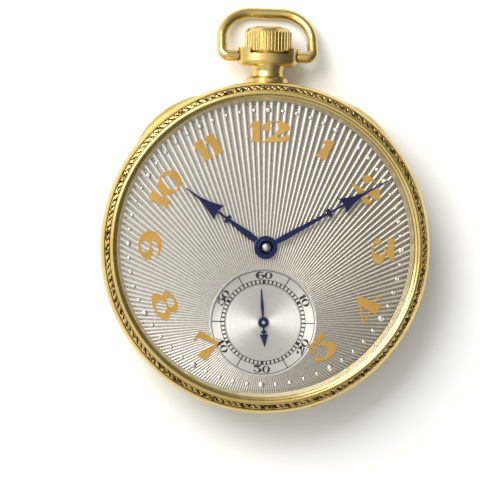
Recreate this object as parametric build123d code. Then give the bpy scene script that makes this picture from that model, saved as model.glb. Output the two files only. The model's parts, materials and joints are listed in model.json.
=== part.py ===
from build123d import *
from math import asin, atan2, cos, degrees, hypot, radians, sin, sqrt
import os

# An open face pocket watch lying on its back. Millimetres, +Z up out of the dial, 12 o'clock towards +Y.
# The origin is on the hands' axis, at the plane that the back rests on.

# ---- case -------------------------------------------------------------------------------------------
CASE_RADIUS = 22.5
CASE_THICKNESS = 10.0
BAND_RADIUS = 21.95
BAND_LOW = 3.1
BAND_HIGH = 5.85
SNAP_GAP = 0.05
BEZEL_SEAT_RADIUS = 21.5
BACK_SEAT_RADIUS = 21.2
MOVEMENT_BORE_RADIUS = 20.0
CASE_LEDGE = 5.6
BACK_FLAT_RADIUS = 16.5
BACK_WALL = 0.45
SHOULDER_ANGLE = 38.0
SHOULDER_PEAK_RADIUS = 23.08
SHOULDER_CURVE_RADIUS = 12.0
ENGRAVED_FROM_RADIUS = 21.34
ENGRAVED_TO_RADIUS = 21.93
LIP_ANGLE = 160.8
CRYSTAL_UNDERSIDE = 9.25

# ---- pendant, bow and crown, along +Y ---------------------------------------------------------------
STEM_HEIGHT = 3.9
STEM_RADIUS = 0.6
STEM_BORE_RADIUS = 0.72
PENDANT_BORE_RADIUS = 1.45
SLEEVE_LOW = 22.2
COLLAR_RADIUS = 2.9
COLLAR_TOP = 23.2
NECK_RADIUS = 2.2
HEAD_BOTTOM = 24.7
HEAD_ROUND = 0.75
HEAD_TOP = 27.2
HEAD_HALF_WIDTH = 4.15
HEAD_HALF_DEPTH = 2.6
CROWN_RADIUS = 3.2
CROWN_LOW = 26.55
CROWN_HIGH = 30.2
CROWN_FLUTES = 40
BOW_AXIS = 26.05
BOW_WIRE_RADIUS = 0.75
BOW_PIN_RADIUS = 0.55
BOW_HALF_WIDTH = 6.25
BOW_REACH = 7.6
BOW_CORNER = 4.2
BOW_ELBOW = 0.95

# ---- dial and hands ---------------------------------------------------------------------------------
DIAL_RADIUS = 20.1
DIAL_LOW = 6.15
DIAL_TOP = 6.6
SECONDS_CENTRE = -10.2
SECONDS_RADIUS = 7.25
SECONDS_DISC_RADIUS = 5.12
SECONDS_FLOOR = 6.5
SECONDS_DISC_FLOOR = 6.45
NUMERAL_RADIUS = 15.75
NUMERAL_RISE = 0.18
FIGURE_GAP = 0.08
# how far an applied figure stands clockwise of its hour line, and outside the circle of figures
NUMERAL_SHIFTS = {
    1: (0.12, 0.0),
    2: (-0.2, 0.35),
    3: (0.12, 0.2),
    4: (0.0, 0.35),
    8: (-0.25, 0.0),
    10: (-0.7, 0.0),
    11: (-0.35, -0.1),
    12: (-0.32, 0.0),
}
DOT_RING_RADIUS = 18.66
DIAL_FOOT_ANGLES = (55, 200, 290)
DIAL_FOOT_RADIUS = 17.5
HOUR_BOSS_RADIUS = 1.58
HOUR_PIPE_RADIUS = 0.8
HAND_NECK = 0.15
HOUR_ANGLE = 305.0
MINUTE_ANGLE = 60.0
SECOND_ANGLE = 355.0

# ---- movement ---------------------------------------------------------------------------------------
PLATE_RADIUS = 19.9
FLANGE_RADIUS = 20.2
WEB_LOW = 4.3
WEB_HIGH = 5.3
BRIDGE_LOW = 1.1
TRAIN_BRIDGE_TOP = 1.8
BARREL_BRIDGE_TOP = 2.05
BRIDGE_RADIUS = 18.8
FOOT_INNER_RADIUS = 17.5
BRIDGE_SPLIT = 2.5
BRIDGE_SCREW_ANGLES = (32, 76, 108, 158, -5, -45, -88)
BRIDGE_SCREW_CIRCLE = 18.15
CASE_SCREW_ANGLES = (12, 172)
CASE_SCREW_CIRCLE = 19.1
BARREL_TEETH, CENTRE_LEAVES, BARREL_MODULE = 80, 12, 0.2
CENTRE_TEETH, THIRD_LEAVES, CENTRE_MODULE = 80, 10, 0.16
THIRD_TEETH, FOURTH_LEAVES, THIRD_MODULE = 75, 10, 0.15
FOURTH_TEETH, ESCAPE_LEAVES, FOURTH_MODULE = 80, 8, 0.11
CANNON_LEAVES, MINUTE_TEETH, CANNON_MODULE = 12, 36, 0.125
MINUTE_LEAVES, HOUR_TEETH, HOUR_MODULE = 10, 40, 0.12
INTERMEDIATE_TEETH, SETTING_TEETH = 52, 24
CROWN_WHEEL_TEETH, RATCHET_TEETH, WINDING_MODULE = 34, 36, 0.3
WINDING_LEAVES = 14
BARREL_AT = (-7.61, 5.17)
CROWN_WHEEL_AT = (0.0, 12.4)
THIRD_AT = (4.464, -5.649)
FOURTH_AT = (0.0, SECONDS_CENTRE)
ESCAPE_AT = (-3.2, -13.83)
BALANCE_AT = (-9.2, -9.6)
COCK_FOOT_AT = (-17.0, -2.0)
PALLET_FOOT_AT = (-6.6, -8.2)
MINUTE_WHEEL_AT = (1.2, 2.75)
INTERMEDIATE_AT = (1.0, 8.246)
SETTING_AT = (0.6, 12.979)
CLICK_AT = (-11.2, 12.2)
LEVER_AT = (6.2, 15.4)
PALLET_DISTANCE = 3.35
PALLET_SPAN = 30.0
ROLLER_PIN_DISTANCE = 0.65
PIVOT_RADIUS = 0.15
JEWEL_RADIUS = 0.75
RUNNING_GAP = 0.02
WHEEL_LOW = 0.72
WHEEL_HIGH = 1.06

BASE = (Align.CENTER, Align.CENTER, Align.MIN)


# ---- shapes used throughout -------------------------------------------------------------------------
def disc(radius, low, high, x=0.0, y=0.0):
    """A round plate between two heights."""
    return Pos(x, y, low) * Cylinder(radius, high - low, align=BASE)


def ring(outer, inner, low, high, x=0.0, y=0.0):
    """A round plate with a round hole through it."""
    return disc(outer, low, high, x, y) - disc(inner, low - 1, high + 1, x, y)


def block(x_low, x_high, y_low, y_high, z_low, z_high):
    """A rectangular block between three pairs of limits."""
    size = Box(x_high - x_low, y_high - y_low, z_high - z_low)
    return Pos((x_low + x_high) / 2, (y_low + y_high) / 2, (z_low + z_high) / 2) * size


def along_y(radius, low, high, height=STEM_HEIGHT):
    """A round bar parallel to +Y, on the stem's axis unless another height is given."""
    return Pos(0, low, height) * Rot(-90, 0, 0) * Cylinder(radius, high - low, align=BASE)


def turned(*edges):
    """A solid of revolution about +Z from edges drawn as (radius, height)."""
    return revolve(Plane.XZ * make_face(Curve() + list(edges)), Axis.Z)


def dome(top, radius, edge):
    """The profile of a ball's cap: from its top on the axis to an edge at a radius and height."""
    rise = top - edge
    ball = (radius**2 + rise**2) / (2 * rise)
    middle = (radius / 2, top - ball + sqrt(ball**2 - radius**2 / 4))
    return ThreePointArc((0, top), middle, (radius, edge))


def turned_along_y(points):
    """A solid of revolution about the stem's axis from (distance along +Y, radius) points."""
    section = make_face(Polyline(*[(radius, y) for y, radius in points], close=True))
    return Pos(0, 0, STEM_HEIGHT) * revolve(section, Axis.Y)


def plate(outline, low, high):
    """A flat solid of a sketch between two heights."""
    return Pos(0, 0, low) * extrude(outline, high - low)


def polar(radius, angle):
    """A point at a radius, and at degrees counter-clockwise from +X."""
    return radius * cos(radians(angle)), radius * sin(radians(angle))


def clockwise(angle, radius=0.0):
    """The placement that turns +Y to degrees clockwise from 12 o'clock, and moves out along it."""
    return Rot(0, 0, -angle) * Pos(0, radius, 0)


def sector(outer, inner, start, end, low, high):
    """A stretch of a ring between two directions, in degrees from +X."""
    middle = (start + end) / 2
    rim = ThreePointArc(polar(outer, start), polar(outer, middle), polar(outer, end))
    bore = ThreePointArc(polar(inner, end), polar(inner, middle), polar(inner, start))
    sides = [Line(rim @ 1, bore @ 0), Line(bore @ 1, rim @ 0)]
    return plate(make_face(Curve() + [rim, bore] + sides), low, high)


def toothed(teeth, module, phase=0.0):
    """The outline of a toothed wheel, whose straight-sided teeth narrow towards the tip."""
    pitch_radius = teeth * module / 2
    step = 360 / teeth
    root, tip = pitch_radius - 1.25 * module, pitch_radius + 0.9 * module
    corners = [(root, -0.29), (tip, -0.11), (tip, 0.11), (root, 0.29)]
    points = [
        polar(radius, phase + (i + share) * step) for i in range(teeth) for radius, share in corners
    ]
    return make_face(Polyline(*points, close=True))


def meshed(teeth, phase, other_teeth, here, there):
    """The phase that puts a gap of the other wheel over this wheel's tooth on the line between them."""
    direction = degrees(atan2(there[1] - here[1], there[0] - here[0]))
    return direction + 180 + ((direction - phase) * teeth - 180) / other_teeth


def gear(teeth, module, low, high, bore, centre, phase=0.0):
    """A solid toothed wheel with a round bore."""
    outline = toothed(teeth, module, phase) - Circle(bore)
    return Pos(centre[0], centre[1], 0) * plate(outline, low, high)


def spoked(teeth, module, low, high, bore, centre, phase=0.0, arms=5, hub=1.0):
    """A toothed wheel with arms."""
    rim = teeth * module / 2 - 4.5 * module
    spokes = Sketch() + [
        Rot(0, 0, i * 360 / arms) * Pos(rim / 2, 0) * Rectangle(rim, 0.09 * rim + 0.1) for i in range(arms)
    ]
    windows = (Circle(rim) - Circle(hub)) - spokes
    outline = toothed(teeth, module, phase) - windows - Circle(bore)
    return Pos(centre[0], centre[1], 0) * plate(outline, low, high)


def stepped(centre, *steps):
    """An arbor made of round steps, each given as (radius, low, high)."""
    solid = Part()
    for radius, low, high in steps:
        solid += disc(radius, low, high, *centre)
    return solid


def spiral(centre, inner, outer, turns, thickness, low, high, start=0.0):
    """A flat spiral strip."""
    count = int(turns * 10)

    def side(offset):
        points = []
        for i in range(count + 1):
            share = i / count
            radius = inner + (outer - inner) * share + offset
            points.append(polar(radius, start + 360 * turns * share))
        return Spline(*points)

    near, far = side(-thickness / 2), side(thickness / 2)
    ends = [Line(near @ 0, far @ 0), Line(near @ 1, far @ 1)]
    return Pos(centre[0], centre[1], 0) * plate(make_face(Curve() + [near, far] + ends), low, high)


def screw(centre, head, shank, low, seat, end):
    """A slotted screw driven from below: head from low to seat, shank on up to end."""
    x, y = centre
    body = disc(head, low, seat, x, y) + disc(shank, seat, end, x, y)
    slot = Pos(x, y, low) * Rot(0, 0, 35) * Box(3 * head, 0.3 * head, 0.3 * (seat - low) * 2)
    return body - slot


# ---- case -------------------------------------------------------------------------------------------
def case_middle():
    """The band between bezel and back, with a snap seat above and below, and two shoulders."""
    waist = ThreePointArc(
        (BAND_RADIUS, BAND_LOW), (BAND_RADIUS + 0.18, (BAND_LOW + BAND_HIGH) / 2), (BAND_RADIUS, BAND_HIGH)
    )
    rest = Polyline(
        (BAND_RADIUS, BAND_HIGH),
        (BEZEL_SEAT_RADIUS, BAND_HIGH),
        (BEZEL_SEAT_RADIUS, 6.85),
        (20.35, 6.85),
        (20.35, CASE_LEDGE),
        (MOVEMENT_BORE_RADIUS, CASE_LEDGE),
        (MOVEMENT_BORE_RADIUS, WEB_LOW),
        (20.45, WEB_LOW),
        (20.45, 2.3),
        (BACK_SEAT_RADIUS, 2.3),
        (BACK_SEAT_RADIUS, BAND_LOW),
        (BAND_RADIUS, BAND_LOW),
    )
    solid = turned(waist, rest)
    for angle in (-SHOULDER_ANGLE, SHOULDER_ANGLE):
        centre = SHOULDER_PEAK_RADIUS - SHOULDER_CURVE_RADIUS
        swelling = disc(SHOULDER_CURVE_RADIUS, BAND_LOW + 0.2, BAND_HIGH - 0.2)
        swelling = chamfer(swelling.edges().filter_by(GeomType.CIRCLE), 0.25)
        solid += clockwise(angle, centre) * swelling - disc(21.0, 0, 9)
    return solid - along_y(STEM_BORE_RADIUS, 18, 24)


def bezel():
    """The snap-on ring that holds the crystal: bright inner wall, bead, engraved band and plain edge."""
    inner = Polyline((19.85, 6.9), (20.3, 8.0), (20.8, 8.0), (20.8, 8.34), (20.38, 8.4), (20.66, 8.42))
    bead = ThreePointArc((20.66, 8.42), (21.0, 8.95), (ENGRAVED_FROM_RADIUS, 8.6))
    band = ThreePointArc((ENGRAVED_FROM_RADIUS, 8.6), (21.64, 8.57), (ENGRAVED_TO_RADIUS, 8.36))
    edge = ThreePointArc((ENGRAVED_TO_RADIUS, 8.36), (22.33, 7.98), (CASE_RADIUS, 7.3))
    outer = ThreePointArc((CASE_RADIUS, 7.3), (22.44, 6.5), (22.15, BAND_HIGH + SNAP_GAP))
    seat = BEZEL_SEAT_RADIUS + SNAP_GAP
    under = Polyline((22.15, BAND_HIGH + SNAP_GAP), (seat, BAND_HIGH + SNAP_GAP), (seat, 6.9), (19.85, 6.9))
    lip = clockwise(LIP_ANGLE) * block(-1.15, 1.15, 21.7, CASE_RADIUS + 0.3, 5.95, 6.5)
    lip = fillet(lip.edges().filter_by(Axis.Z), 0.25)
    return turned(inner, bead, band, edge, outer, under) + lip


def crystal():
    """The domed glass, whose thin flange sits in the bezel's groove."""
    outside = dome(CASE_THICKNESS, 20.3, 8.4)
    flange = Polyline((20.3, 8.4), (20.34, 8.31), (20.76, 8.31), (20.76, 8.03), (20.15, 8.03))
    inside = dome(CRYSTAL_UNDERSIDE, 20.15, 8.03)
    return turned(outside, flange, inside, Line((0, CRYSTAL_UNDERSIDE), (0, CASE_THICKNESS)))


def back_cover():
    """The snap-on back: flat in the middle, so that it rests there, and curved up at its edge."""
    base = Line((0, 0), (BACK_FLAT_RADIUS, 0))
    outside = TangentArc((BACK_FLAT_RADIUS, 0), (BAND_RADIUS, 2.3), tangent=(1, 0))
    seat = BACK_SEAT_RADIUS + SNAP_GAP
    top = BAND_LOW - SNAP_GAP
    rim = Polyline((BAND_RADIUS, 2.3), (BAND_RADIUS, top), (seat, top), (seat, 2.2), (20.7, 2.2))
    inside = TangentArc((BACK_FLAT_RADIUS - 0.2, BACK_WALL), (20.7, 2.2), tangent=(1, 0))
    floor = Polyline((BACK_FLAT_RADIUS - 0.2, BACK_WALL), (0, BACK_WALL), (0, 0))
    lip = clockwise(200) * block(-1.1, 1.1, 21.5, 22.3, 2.5, top)
    return turned(base, outside, rim, inside, floor) + lip


# ---- pendant, bow and crown -------------------------------------------------------------------------
def pendant():
    """The neck on the case: a saddle-shaped collar, a neck, and a head with an ear either side."""
    tube = turned_along_y(
        [
            (21.0, 0),
            (21.0, 2.5),
            (22.5, COLLAR_RADIUS),
            (COLLAR_TOP - 0.25, COLLAR_RADIUS),
            (COLLAR_TOP, COLLAR_RADIUS - 0.25),
            (COLLAR_TOP + 0.15, NECK_RADIUS + 0.1),
            (24.0, NECK_RADIUS),
            (25.2, NECK_RADIUS + 0.35),
            (25.2, 0),
        ]
    )
    head = extrude(Ellipse(HEAD_HALF_WIDTH, HEAD_HALF_DEPTH), HEAD_TOP - HEAD_BOTTOM)
    head = fillet(head.edges().group_by(Axis.Z)[0], HEAD_ROUND)
    head = Pos(0, HEAD_BOTTOM, STEM_HEIGHT) * Rot(-90, 0, 0) * head
    head -= along_y(CROWN_RADIUS + 0.12, CROWN_LOW - 0.12, 29)
    nipple = along_y(1.95, CROWN_LOW - 0.5, 27.2)
    solid = tube + head + nipple - along_y(PENDANT_BORE_RADIUS, 20, 29)
    solid -= disc(BAND_RADIUS + 0.2, 0, 9) + disc(CASE_RADIUS + 0.1, BAND_HIGH, 9)
    socket = BOW_PIN_RADIUS + 0.04
    for side in (-1, 1):
        hole = Pos(side * HEAD_HALF_WIDTH, BOW_AXIS, STEM_HEIGHT) * Rot(0, 90, 0) * Cylinder(socket, 1.5)
        solid -= hole
    return solid


def pendant_sleeve():
    """The slit tube inside the pendant, whose spring fingers hold the stem in or out."""
    tube = along_y(PENDANT_BORE_RADIUS - 0.02, SLEEVE_LOW, 26.3) - along_y(STEM_BORE_RADIUS, 20, 27)
    for angle in range(0, 180, 45):
        tube -= Pos(0, SLEEVE_LOW, STEM_HEIGHT) * Rot(0, angle, 0) * Box(4, 4, 0.18)
    return tube


def bow():
    """The loop: two pins in the pendant's head, and a round bar from one to the other."""
    legs = BOW_HALF_WIDTH
    pin_end = HEAD_HALF_WIDTH - 0.7
    path = FilletPolyline(
        (-HEAD_HALF_WIDTH - 0.06, 0, 0),
        (-legs, 0, 0),
        (-legs, BOW_REACH - BOW_WIRE_RADIUS, 0),
        (legs, BOW_REACH - BOW_WIRE_RADIUS, 0),
        (legs, 0, 0),
        (HEAD_HALF_WIDTH + 0.06, 0, 0),
        radius=[BOW_ELBOW, BOW_CORNER, BOW_CORNER, BOW_ELBOW],
    )
    bar = sweep(Plane(origin=path @ 0, z_dir=path % 0) * Circle(BOW_WIRE_RADIUS), path)
    for side in (-1, 1):
        middle = side * (pin_end + HEAD_HALF_WIDTH + 0.3) / 2
        length = HEAD_HALF_WIDTH + 0.3 - pin_end
        bar += Pos(middle, 0, 0) * Rot(0, 90, 0) * Cylinder(BOW_PIN_RADIUS, length)
    lean = degrees(asin((STEM_HEIGHT - BOW_WIRE_RADIUS) / (BOW_REACH - BOW_WIRE_RADIUS)))
    return Pos(0, BOW_AXIS, STEM_HEIGHT) * Rot(-lean, 0, 0) * bar


def crown():
    """The fluted winding crown, hollow underneath to cover the pendant's nipple."""
    body = turned_along_y(
        [
            (CROWN_LOW, 0),
            (CROWN_LOW, CROWN_RADIUS - 0.35),
            (CROWN_LOW + 0.35, CROWN_RADIUS),
            (CROWN_HIGH - 0.9, CROWN_RADIUS),
            (CROWN_HIGH - 0.35, CROWN_RADIUS - 0.45),
            (CROWN_HIGH - 0.08, CROWN_RADIUS - 1.4),
            (CROWN_HIGH, CROWN_RADIUS - 2.6),
            (CROWN_HIGH, 0),
        ]
    )
    body -= along_y(2.4, CROWN_LOW - 1, 27.9) + along_y(STEM_RADIUS, 27, 29.2)
    flute = Cylinder(0.17, 5, align=BASE)
    flutes = Part() + [
        Pos(0, CROWN_LOW - 0.5, STEM_HEIGHT) * Rot(-90, 0, 0) * Rot(0, 0, i * 360 / CROWN_FLUTES)
        * Pos(CROWN_RADIUS + 0.05, 0, 0) * flute
        for i in range(CROWN_FLUTES)
    ]
    return body - flutes


def stem():
    """The winding stem: a square end in the movement, a shouldered bar, and a thread in the crown."""
    square = block(-0.4, 0.4, 14.6, 18.4, STEM_HEIGHT - 0.4, STEM_HEIGHT + 0.4)
    bar = along_y(STEM_RADIUS, 18.4, 29.2) - (along_y(1, 22.3, 22.8) - along_y(0.45, 22.3, 22.8))
    return square + bar


def crown_gasket():
    """The dust ring inside the crown, which slides along the nipple with it."""
    return along_y(2.36, 27.3, 27.85) - along_y(STEM_RADIUS + 0.1, 27, 28)


# ---- dial -------------------------------------------------------------------------------------------
def dial():
    """The dial, with its sunk seconds dial, and three feet."""
    x, y = FOURTH_AT
    solid = disc(DIAL_RADIUS, DIAL_LOW, DIAL_TOP) - disc(1.15, 5, 7) - disc(0.45, 5, 7, x, y)
    solid -= disc(SECONDS_RADIUS, SECONDS_FLOOR, 7, x, y)
    solid -= disc(SECONDS_DISC_RADIUS, SECONDS_DISC_FLOOR, 7, x, y)
    for angle in DIAL_FOOT_ANGLES:
        solid += disc(0.4, 4.6, DIAL_LOW + 0.1, *polar(DIAL_FOOT_RADIUS, angle))
    return solid


def stroke(*points):
    """A closed straight-sided shape."""
    return make_face(Polyline(*points, close=True))


def oval(x, y, half_width, half_height):
    """An ellipse about a point."""
    return Pos(x, y) * Ellipse(half_width, half_height)


def digit(figure):
    """One bold figure with thick and thin strokes, about 3 mm high, centred on its own middle."""
    if figure == "0":
        return oval(0, 0, 1.74, 1.52) - Rot(0, 0, -6) * oval(0, 0, 0.72, 1.32)
    if figure == "1":
        stem_part = stroke((-0.5, 1.38), (0.56, 1.42), (0.56, -1.45), (-0.5, -1.45))
        flag = stroke((-0.5, 1.38), (-0.9, 0.55), (-0.7, 0.45), (-0.4, 0.75))
        foot = stroke((-0.72, -1.45), (0.76, -1.45), (0.76, -1.36), (0.5, -1.28), (-0.48, -1.28), (-0.72, -1.36))
        return stem_part + flag + foot
    if figure == "2":
        bowl = oval(0.0, 0.62, 1.85, 0.88) - oval(-0.3, 0.62, 0.66, 0.72)
        bowl -= stroke((-2.0, 0.05), (-0.3, 0.35), (-0.2, -0.2), (0.55, -0.4), (-2.0, -0.6))
        ball = oval(-1.28, 0.48, 0.54, 0.44)
        neck = stroke((0.7, -0.1), (1.2, 0.1), (-0.7, -1.2), (-1.82, -1.5), (-1.45, -1.1), (-0.4, -0.5))
        foot = stroke((-1.82, -1.5), (1.75, -1.28), (1.8, -0.38), (0.2, -0.85), (-0.9, -0.95))
        return bowl + ball + neck + foot
    if figure == "3":
        bar = stroke((-1.85, 1.78), (1.45, 1.78), (0.7, 0.84), (-1.75, 0.84), (-1.6, 1.3))
        neck = stroke((0.4, 1.0), (0.85, 1.0), (-0.1, 0.35), (-0.5, 0.5))
        bowl = oval(0.05, -0.38, 1.7, 1.0) - oval(-0.35, -0.25, 0.85, 0.83)
        bowl -= stroke((-2, 1.0), (-0.45, 0.9), (-0.5, -0.1), (-1.1, -0.2), (-2, 0.1))
        ball = oval(-1.3, -0.5, 0.38, 0.38)
        return bar + neck + bowl + ball
    if figure == "4":
        stem_part = stroke((0.05, 1.45), (1.2, 1.65), (1.4, -1.45), (0.05, -1.45))
        foot = stroke((-0.1, -1.4), (1.6, -1.4), (1.6, -1.62), (-0.1, -1.62))
        bar = stroke((-2.1, -1.0), (2.3, -0.8), (2.6, -1.3), (2.55, -0.45), (2.3, -0.55), (-1.5, -0.78))
        slant = stroke((-2.1, -1.0), (-1.55, -0.8), (0.3, 0.9), (0.3, 1.3))
        return stem_part + foot + bar + slant
    if figure == "5":
        flag = stroke((-1.3, 1.45), (-1.1, 1.1), (1.6, 1.9), (1.3, 1.25), (0.4, 0.85), (-1.1, 0.75))
        neck = stroke((-1.3, 1.45), (-1.05, 1.45), (-1.0, 0.1), (-0.6, 0.3), (-0.7, 0.0), (-1.3, -0.2))
        bowl = oval(0.35, -0.55, 1.85, 1.12) - oval(0.0, -0.42, 0.85, 0.86)
        bowl -= stroke((-2, 0.9), (-0.7, 0.6), (-0.75, -0.5), (-1.1, -0.75), (-2, -0.7))
        ball = oval(-1.15, -0.95, 0.4, 0.42)
        return flag + neck + bowl + ball
    if figure == "6":
        return Rot(0, 0, 180) * digit("9")
    if figure == "7":
        bar = stroke((-1.75, 1.5), (1.35, 1.45), (1.0, 0.95), (-1.45, 0.6), (-1.6, -0.05), (-1.8, 0.0))
        slant = stroke((1.35, 1.45), (1.0, 1.0), (-0.4, -1.55), (1.05, -1.6))
        return bar + slant
    if figure == "8":
        lower = oval(0, -0.62, 2.0, 0.98) - oval(0.05, -0.6, 0.88, 0.74)
        upper = oval(0, 0.82, 1.62, 0.78) - oval(0.0, 0.82, 0.72, 0.54)
        return lower + upper - oval(0.05, -0.6, 0.88, 0.74)
    bowl = oval(-0.1, 0, 1.97, 1.6) - oval(-0.28, 0.68, 0.77, 0.63)
    bowl -= Pos(-0.4, -0.66) * Rot(0, 0, 14) * Ellipse(1.03, 0.41)
    bite = [(-2.4, -0.1), (-1.5, -0.2), (-0.8, -0.5), (-1.35, -0.85), (-1.75, -1.05), (-2.4, -1.0)]
    return bowl - stroke(*bite)


def figures(text):
    """A whole number, its figures side by side."""
    if len(text) == 1:
        return digit(text)
    half_widths = {"0": 1.74, "1": 0.85}
    tens, units = (half_widths.get(figure, 1.8) for figure in text)
    shift = (tens + units + FIGURE_GAP) / 2
    return Pos(-shift, 0) * digit(text[0]) + Pos(shift, 0) * digit(text[1])


def hour_numerals():
    """The applied hour figures. Those of the lower half stand with their feet outwards."""
    solids = Part()
    for hour in (12, 1, 2, 3, 4, 5, 7, 8, 9, 10, 11):
        along, outward = NUMERAL_SHIFTS.get(hour, (0, 0))
        shape = Rot(0, 0, 180 if hour in (4, 5, 7, 8) else 0) * figures(str(hour))
        raised = plate(Pos(along, outward) * shape, 0, NUMERAL_RISE)
        solids += Pos(0, 0, DIAL_TOP) * clockwise(hour * 30, NUMERAL_RADIUS) * raised
    return solids


def minute_dots():
    """Sixty domed minute markers, larger at each hour."""
    dots = Part()
    for minute in range(60):
        radius = 0.42 if minute % 5 == 0 else 0.27
        dome = Sphere(radius) & disc(1, 0, 1)
        dots += Pos(0, 0, DIAL_TOP) * clockwise(minute * 6, DOT_RING_RADIUS) * scale(dome, by=(1, 1, 0.5))
    return dots


def seconds_track():
    """The raised print on the seconds dial: its circles, sixty divisions, six long bars and the tens."""
    inner, outer, edge = SECONDS_DISC_RADIUS + 0.1, SECONDS_DISC_RADIUS + 0.7, SECONDS_RADIUS - 0.17
    marks = (Circle(outer) - Circle(outer - 0.08)) + (Circle(inner + 0.08) - Circle(inner))
    marks += Circle(edge) - Circle(edge - 0.1)
    for second in range(60):
        width = 0.42 if second % 10 == 0 else 0.2
        bar = Pos(0, (inner + outer) / 2) * Rectangle(width, outer - inner - 0.02)
        marks += Rot(0, 0, -6 * second) * bar
    for second in range(5, 60, 10):
        bar = Pos(0, (outer + edge) / 2) * Rectangle(0.13, edge - outer)
        marks += Rot(0, 0, -6 * second) * bar
    for tens in (10, 20, 30, 40, 50, 60):
        turn = 180 if tens in (20, 30, 40) else 0
        shape = scale(figures(str(tens)), by=0.32)
        marks += Rot(0, 0, -6 * tens) * Pos(0, (outer + edge) / 2 - 0.06) * Rot(0, 0, turn) * shape
    return Pos(*FOURTH_AT, 0) * plate(marks, SECONDS_FLOOR, SECONDS_FLOOR + 0.02)


# ---- hands ------------------------------------------------------------------------------------------
def blade(half, low, high, angle, centre=(0, 0)):
    """A symmetrical flat hand from the right half of its outline, pointing at a dial angle."""
    outline = half + mirror(half, Plane.YZ)
    return Pos(centre[0], centre[1], 0) * Rot(0, 0, -angle) * plate(outline, low, high)


def spear(cross, barb, needle, tip, body_width, barb_width):
    """Half the outline of a tapered hand: a small cross, a barbed head with hollow sides, a needle."""
    half = body_width / 2
    wide = barb_width / 2
    hook = 0.06 * barb_width
    near = Polyline(
        (0, 0),
        (half * 0.8, 0),
        (half * 0.8, HOUR_BOSS_RADIUS),
        (half, 3.0),
        (half * 0.48, cross - 0.5),
        (HAND_NECK, cross - 0.26),
        (0.4, cross - 0.3),
        (0.58, cross - 0.16),
        (0.58, cross + 0.16),
        (0.4, cross + 0.3),
        (HAND_NECK, cross + 0.26),
        (HAND_NECK, barb + hook),
        (wide, barb - hook),
    )
    side = ThreePointArc((wide, barb - hook), (wide * 0.43, (barb + needle) / 2), (HAND_NECK, needle))
    far = Polyline((HAND_NECK, needle), (0.07, tip), (0, tip), (0, 0))
    return make_face(Curve() + [near, side, far])


def hour_hand():
    """The blued hour hand, on the hour wheel's pipe."""
    outline = spear(6.45, 8.06, 11.4, 13.5, 0.95, 2.4)
    solid = blade(outline, 7.12, 7.32, HOUR_ANGLE) + disc(HOUR_BOSS_RADIUS, 7.0, 7.42)
    return solid - disc(HOUR_PIPE_RADIUS, 6, 8)


def minute_hand():
    """The blued minute hand, whose sunk boss holds the end of the cannon pinion's pipe."""
    outline = spear(9.85, 12.0, 15.4, 19.1, 0.82, 2.18)
    solid = blade(outline, 7.68, 7.86, MINUTE_ANGLE) + disc(1.13, 7.58, 8.08) - disc(0.9, 7.84, 9)
    return solid - disc(0.55, 7, 9)


def seconds_hand():
    """The blued seconds hand: a leaf-shaped needle, a ring on the fourth arbor, and an arrow for a tail."""
    x, y = FOURTH_AT
    point = stroke((0, 0), (0.1, 0), (0.1, 0.9), (0.2, 2.1), (0.06, 4.6), (0, 4.6))
    tail = stroke((0, 0), (0.1, 0), (0.1, 1.7), (0.57, 1.6), (0.3, 2.4), (0.06, 3.3), (0, 3.3))
    tail += stroke((0, 1.15), (0.28, 1.15), (0.38, 1.24), (0.38, 1.38), (0.28, 1.47), (0, 1.47))
    solid = disc(0.73, 6.75, 6.98, x, y)
    solid += blade(point, 6.82, 6.92, SECOND_ANGLE, (x, y))
    solid += blade(tail, 6.82, 6.92, SECOND_ANGLE + 180, (x, y))
    return solid - disc(0.22, 6, 8, x, y)


# ---- movement: plate and bridges --------------------------------------------------------------------
def pallet_place():
    """The pallet arbor's place on the line from the escape wheel to the balance, and that line's angle."""
    dx, dy = BALANCE_AT[0] - ESCAPE_AT[0], BALANCE_AT[1] - ESCAPE_AT[1]
    share = PALLET_DISTANCE / hypot(dx, dy)
    return (ESCAPE_AT[0] + dx * share, ESCAPE_AT[1] + dy * share), degrees(atan2(dy, dx))


PALLET_AT, LEVER_ANGLE = pallet_place()

def main_plate():
    """The plate that carries everything, hollowed on the dial side for the motion work."""
    solid = disc(PLATE_RADIUS, WEB_LOW, DIAL_LOW) + disc(FLANGE_RADIUS, CASE_LEDGE, DIAL_LOW)
    solid -= disc(18.6, WEB_HIGH, 7)
    for x, y in (MINUTE_WHEEL_AT, INTERMEDIATE_AT, SETTING_AT, LEVER_AT):
        solid += disc(0.38, WEB_HIGH - 0.1, 6.05, x, y)
    solid -= disc(7.8, 4, 4.9, *BARREL_AT) + disc(0.95, 4, 6, *BARREL_AT)
    solid -= block(-2.4, 2.4, 14.3, 17.9, 4, WEB_HIGH + 0.01)
    solid -= along_y(STEM_BORE_RADIUS, 17, 21)
    solid -= disc(0.55, 4, 6)
    for x, y in (THIRD_AT, FOURTH_AT, ESCAPE_AT, PALLET_AT, BALANCE_AT):
        solid -= disc(0.6, 4, 6, x, y)
    for angle in DIAL_FOOT_ANGLES:
        solid -= disc(0.42, 4, 6.1, *polar(DIAL_FOOT_RADIUS, angle))
    for angle in BRIDGE_SCREW_ANGLES:
        solid -= disc(0.32, 4, 5.1, *polar(BRIDGE_SCREW_CIRCLE, angle))
    for angle in CASE_SCREW_ANGLES:
        solid -= disc(0.42, 4, 5.2, *polar(CASE_SCREW_CIRCLE, angle))
    return solid - disc(0.42, 4, 5.1, *COCK_FOOT_AT) - disc(0.32, 4, 5.1, *PALLET_FOOT_AT)


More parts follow.
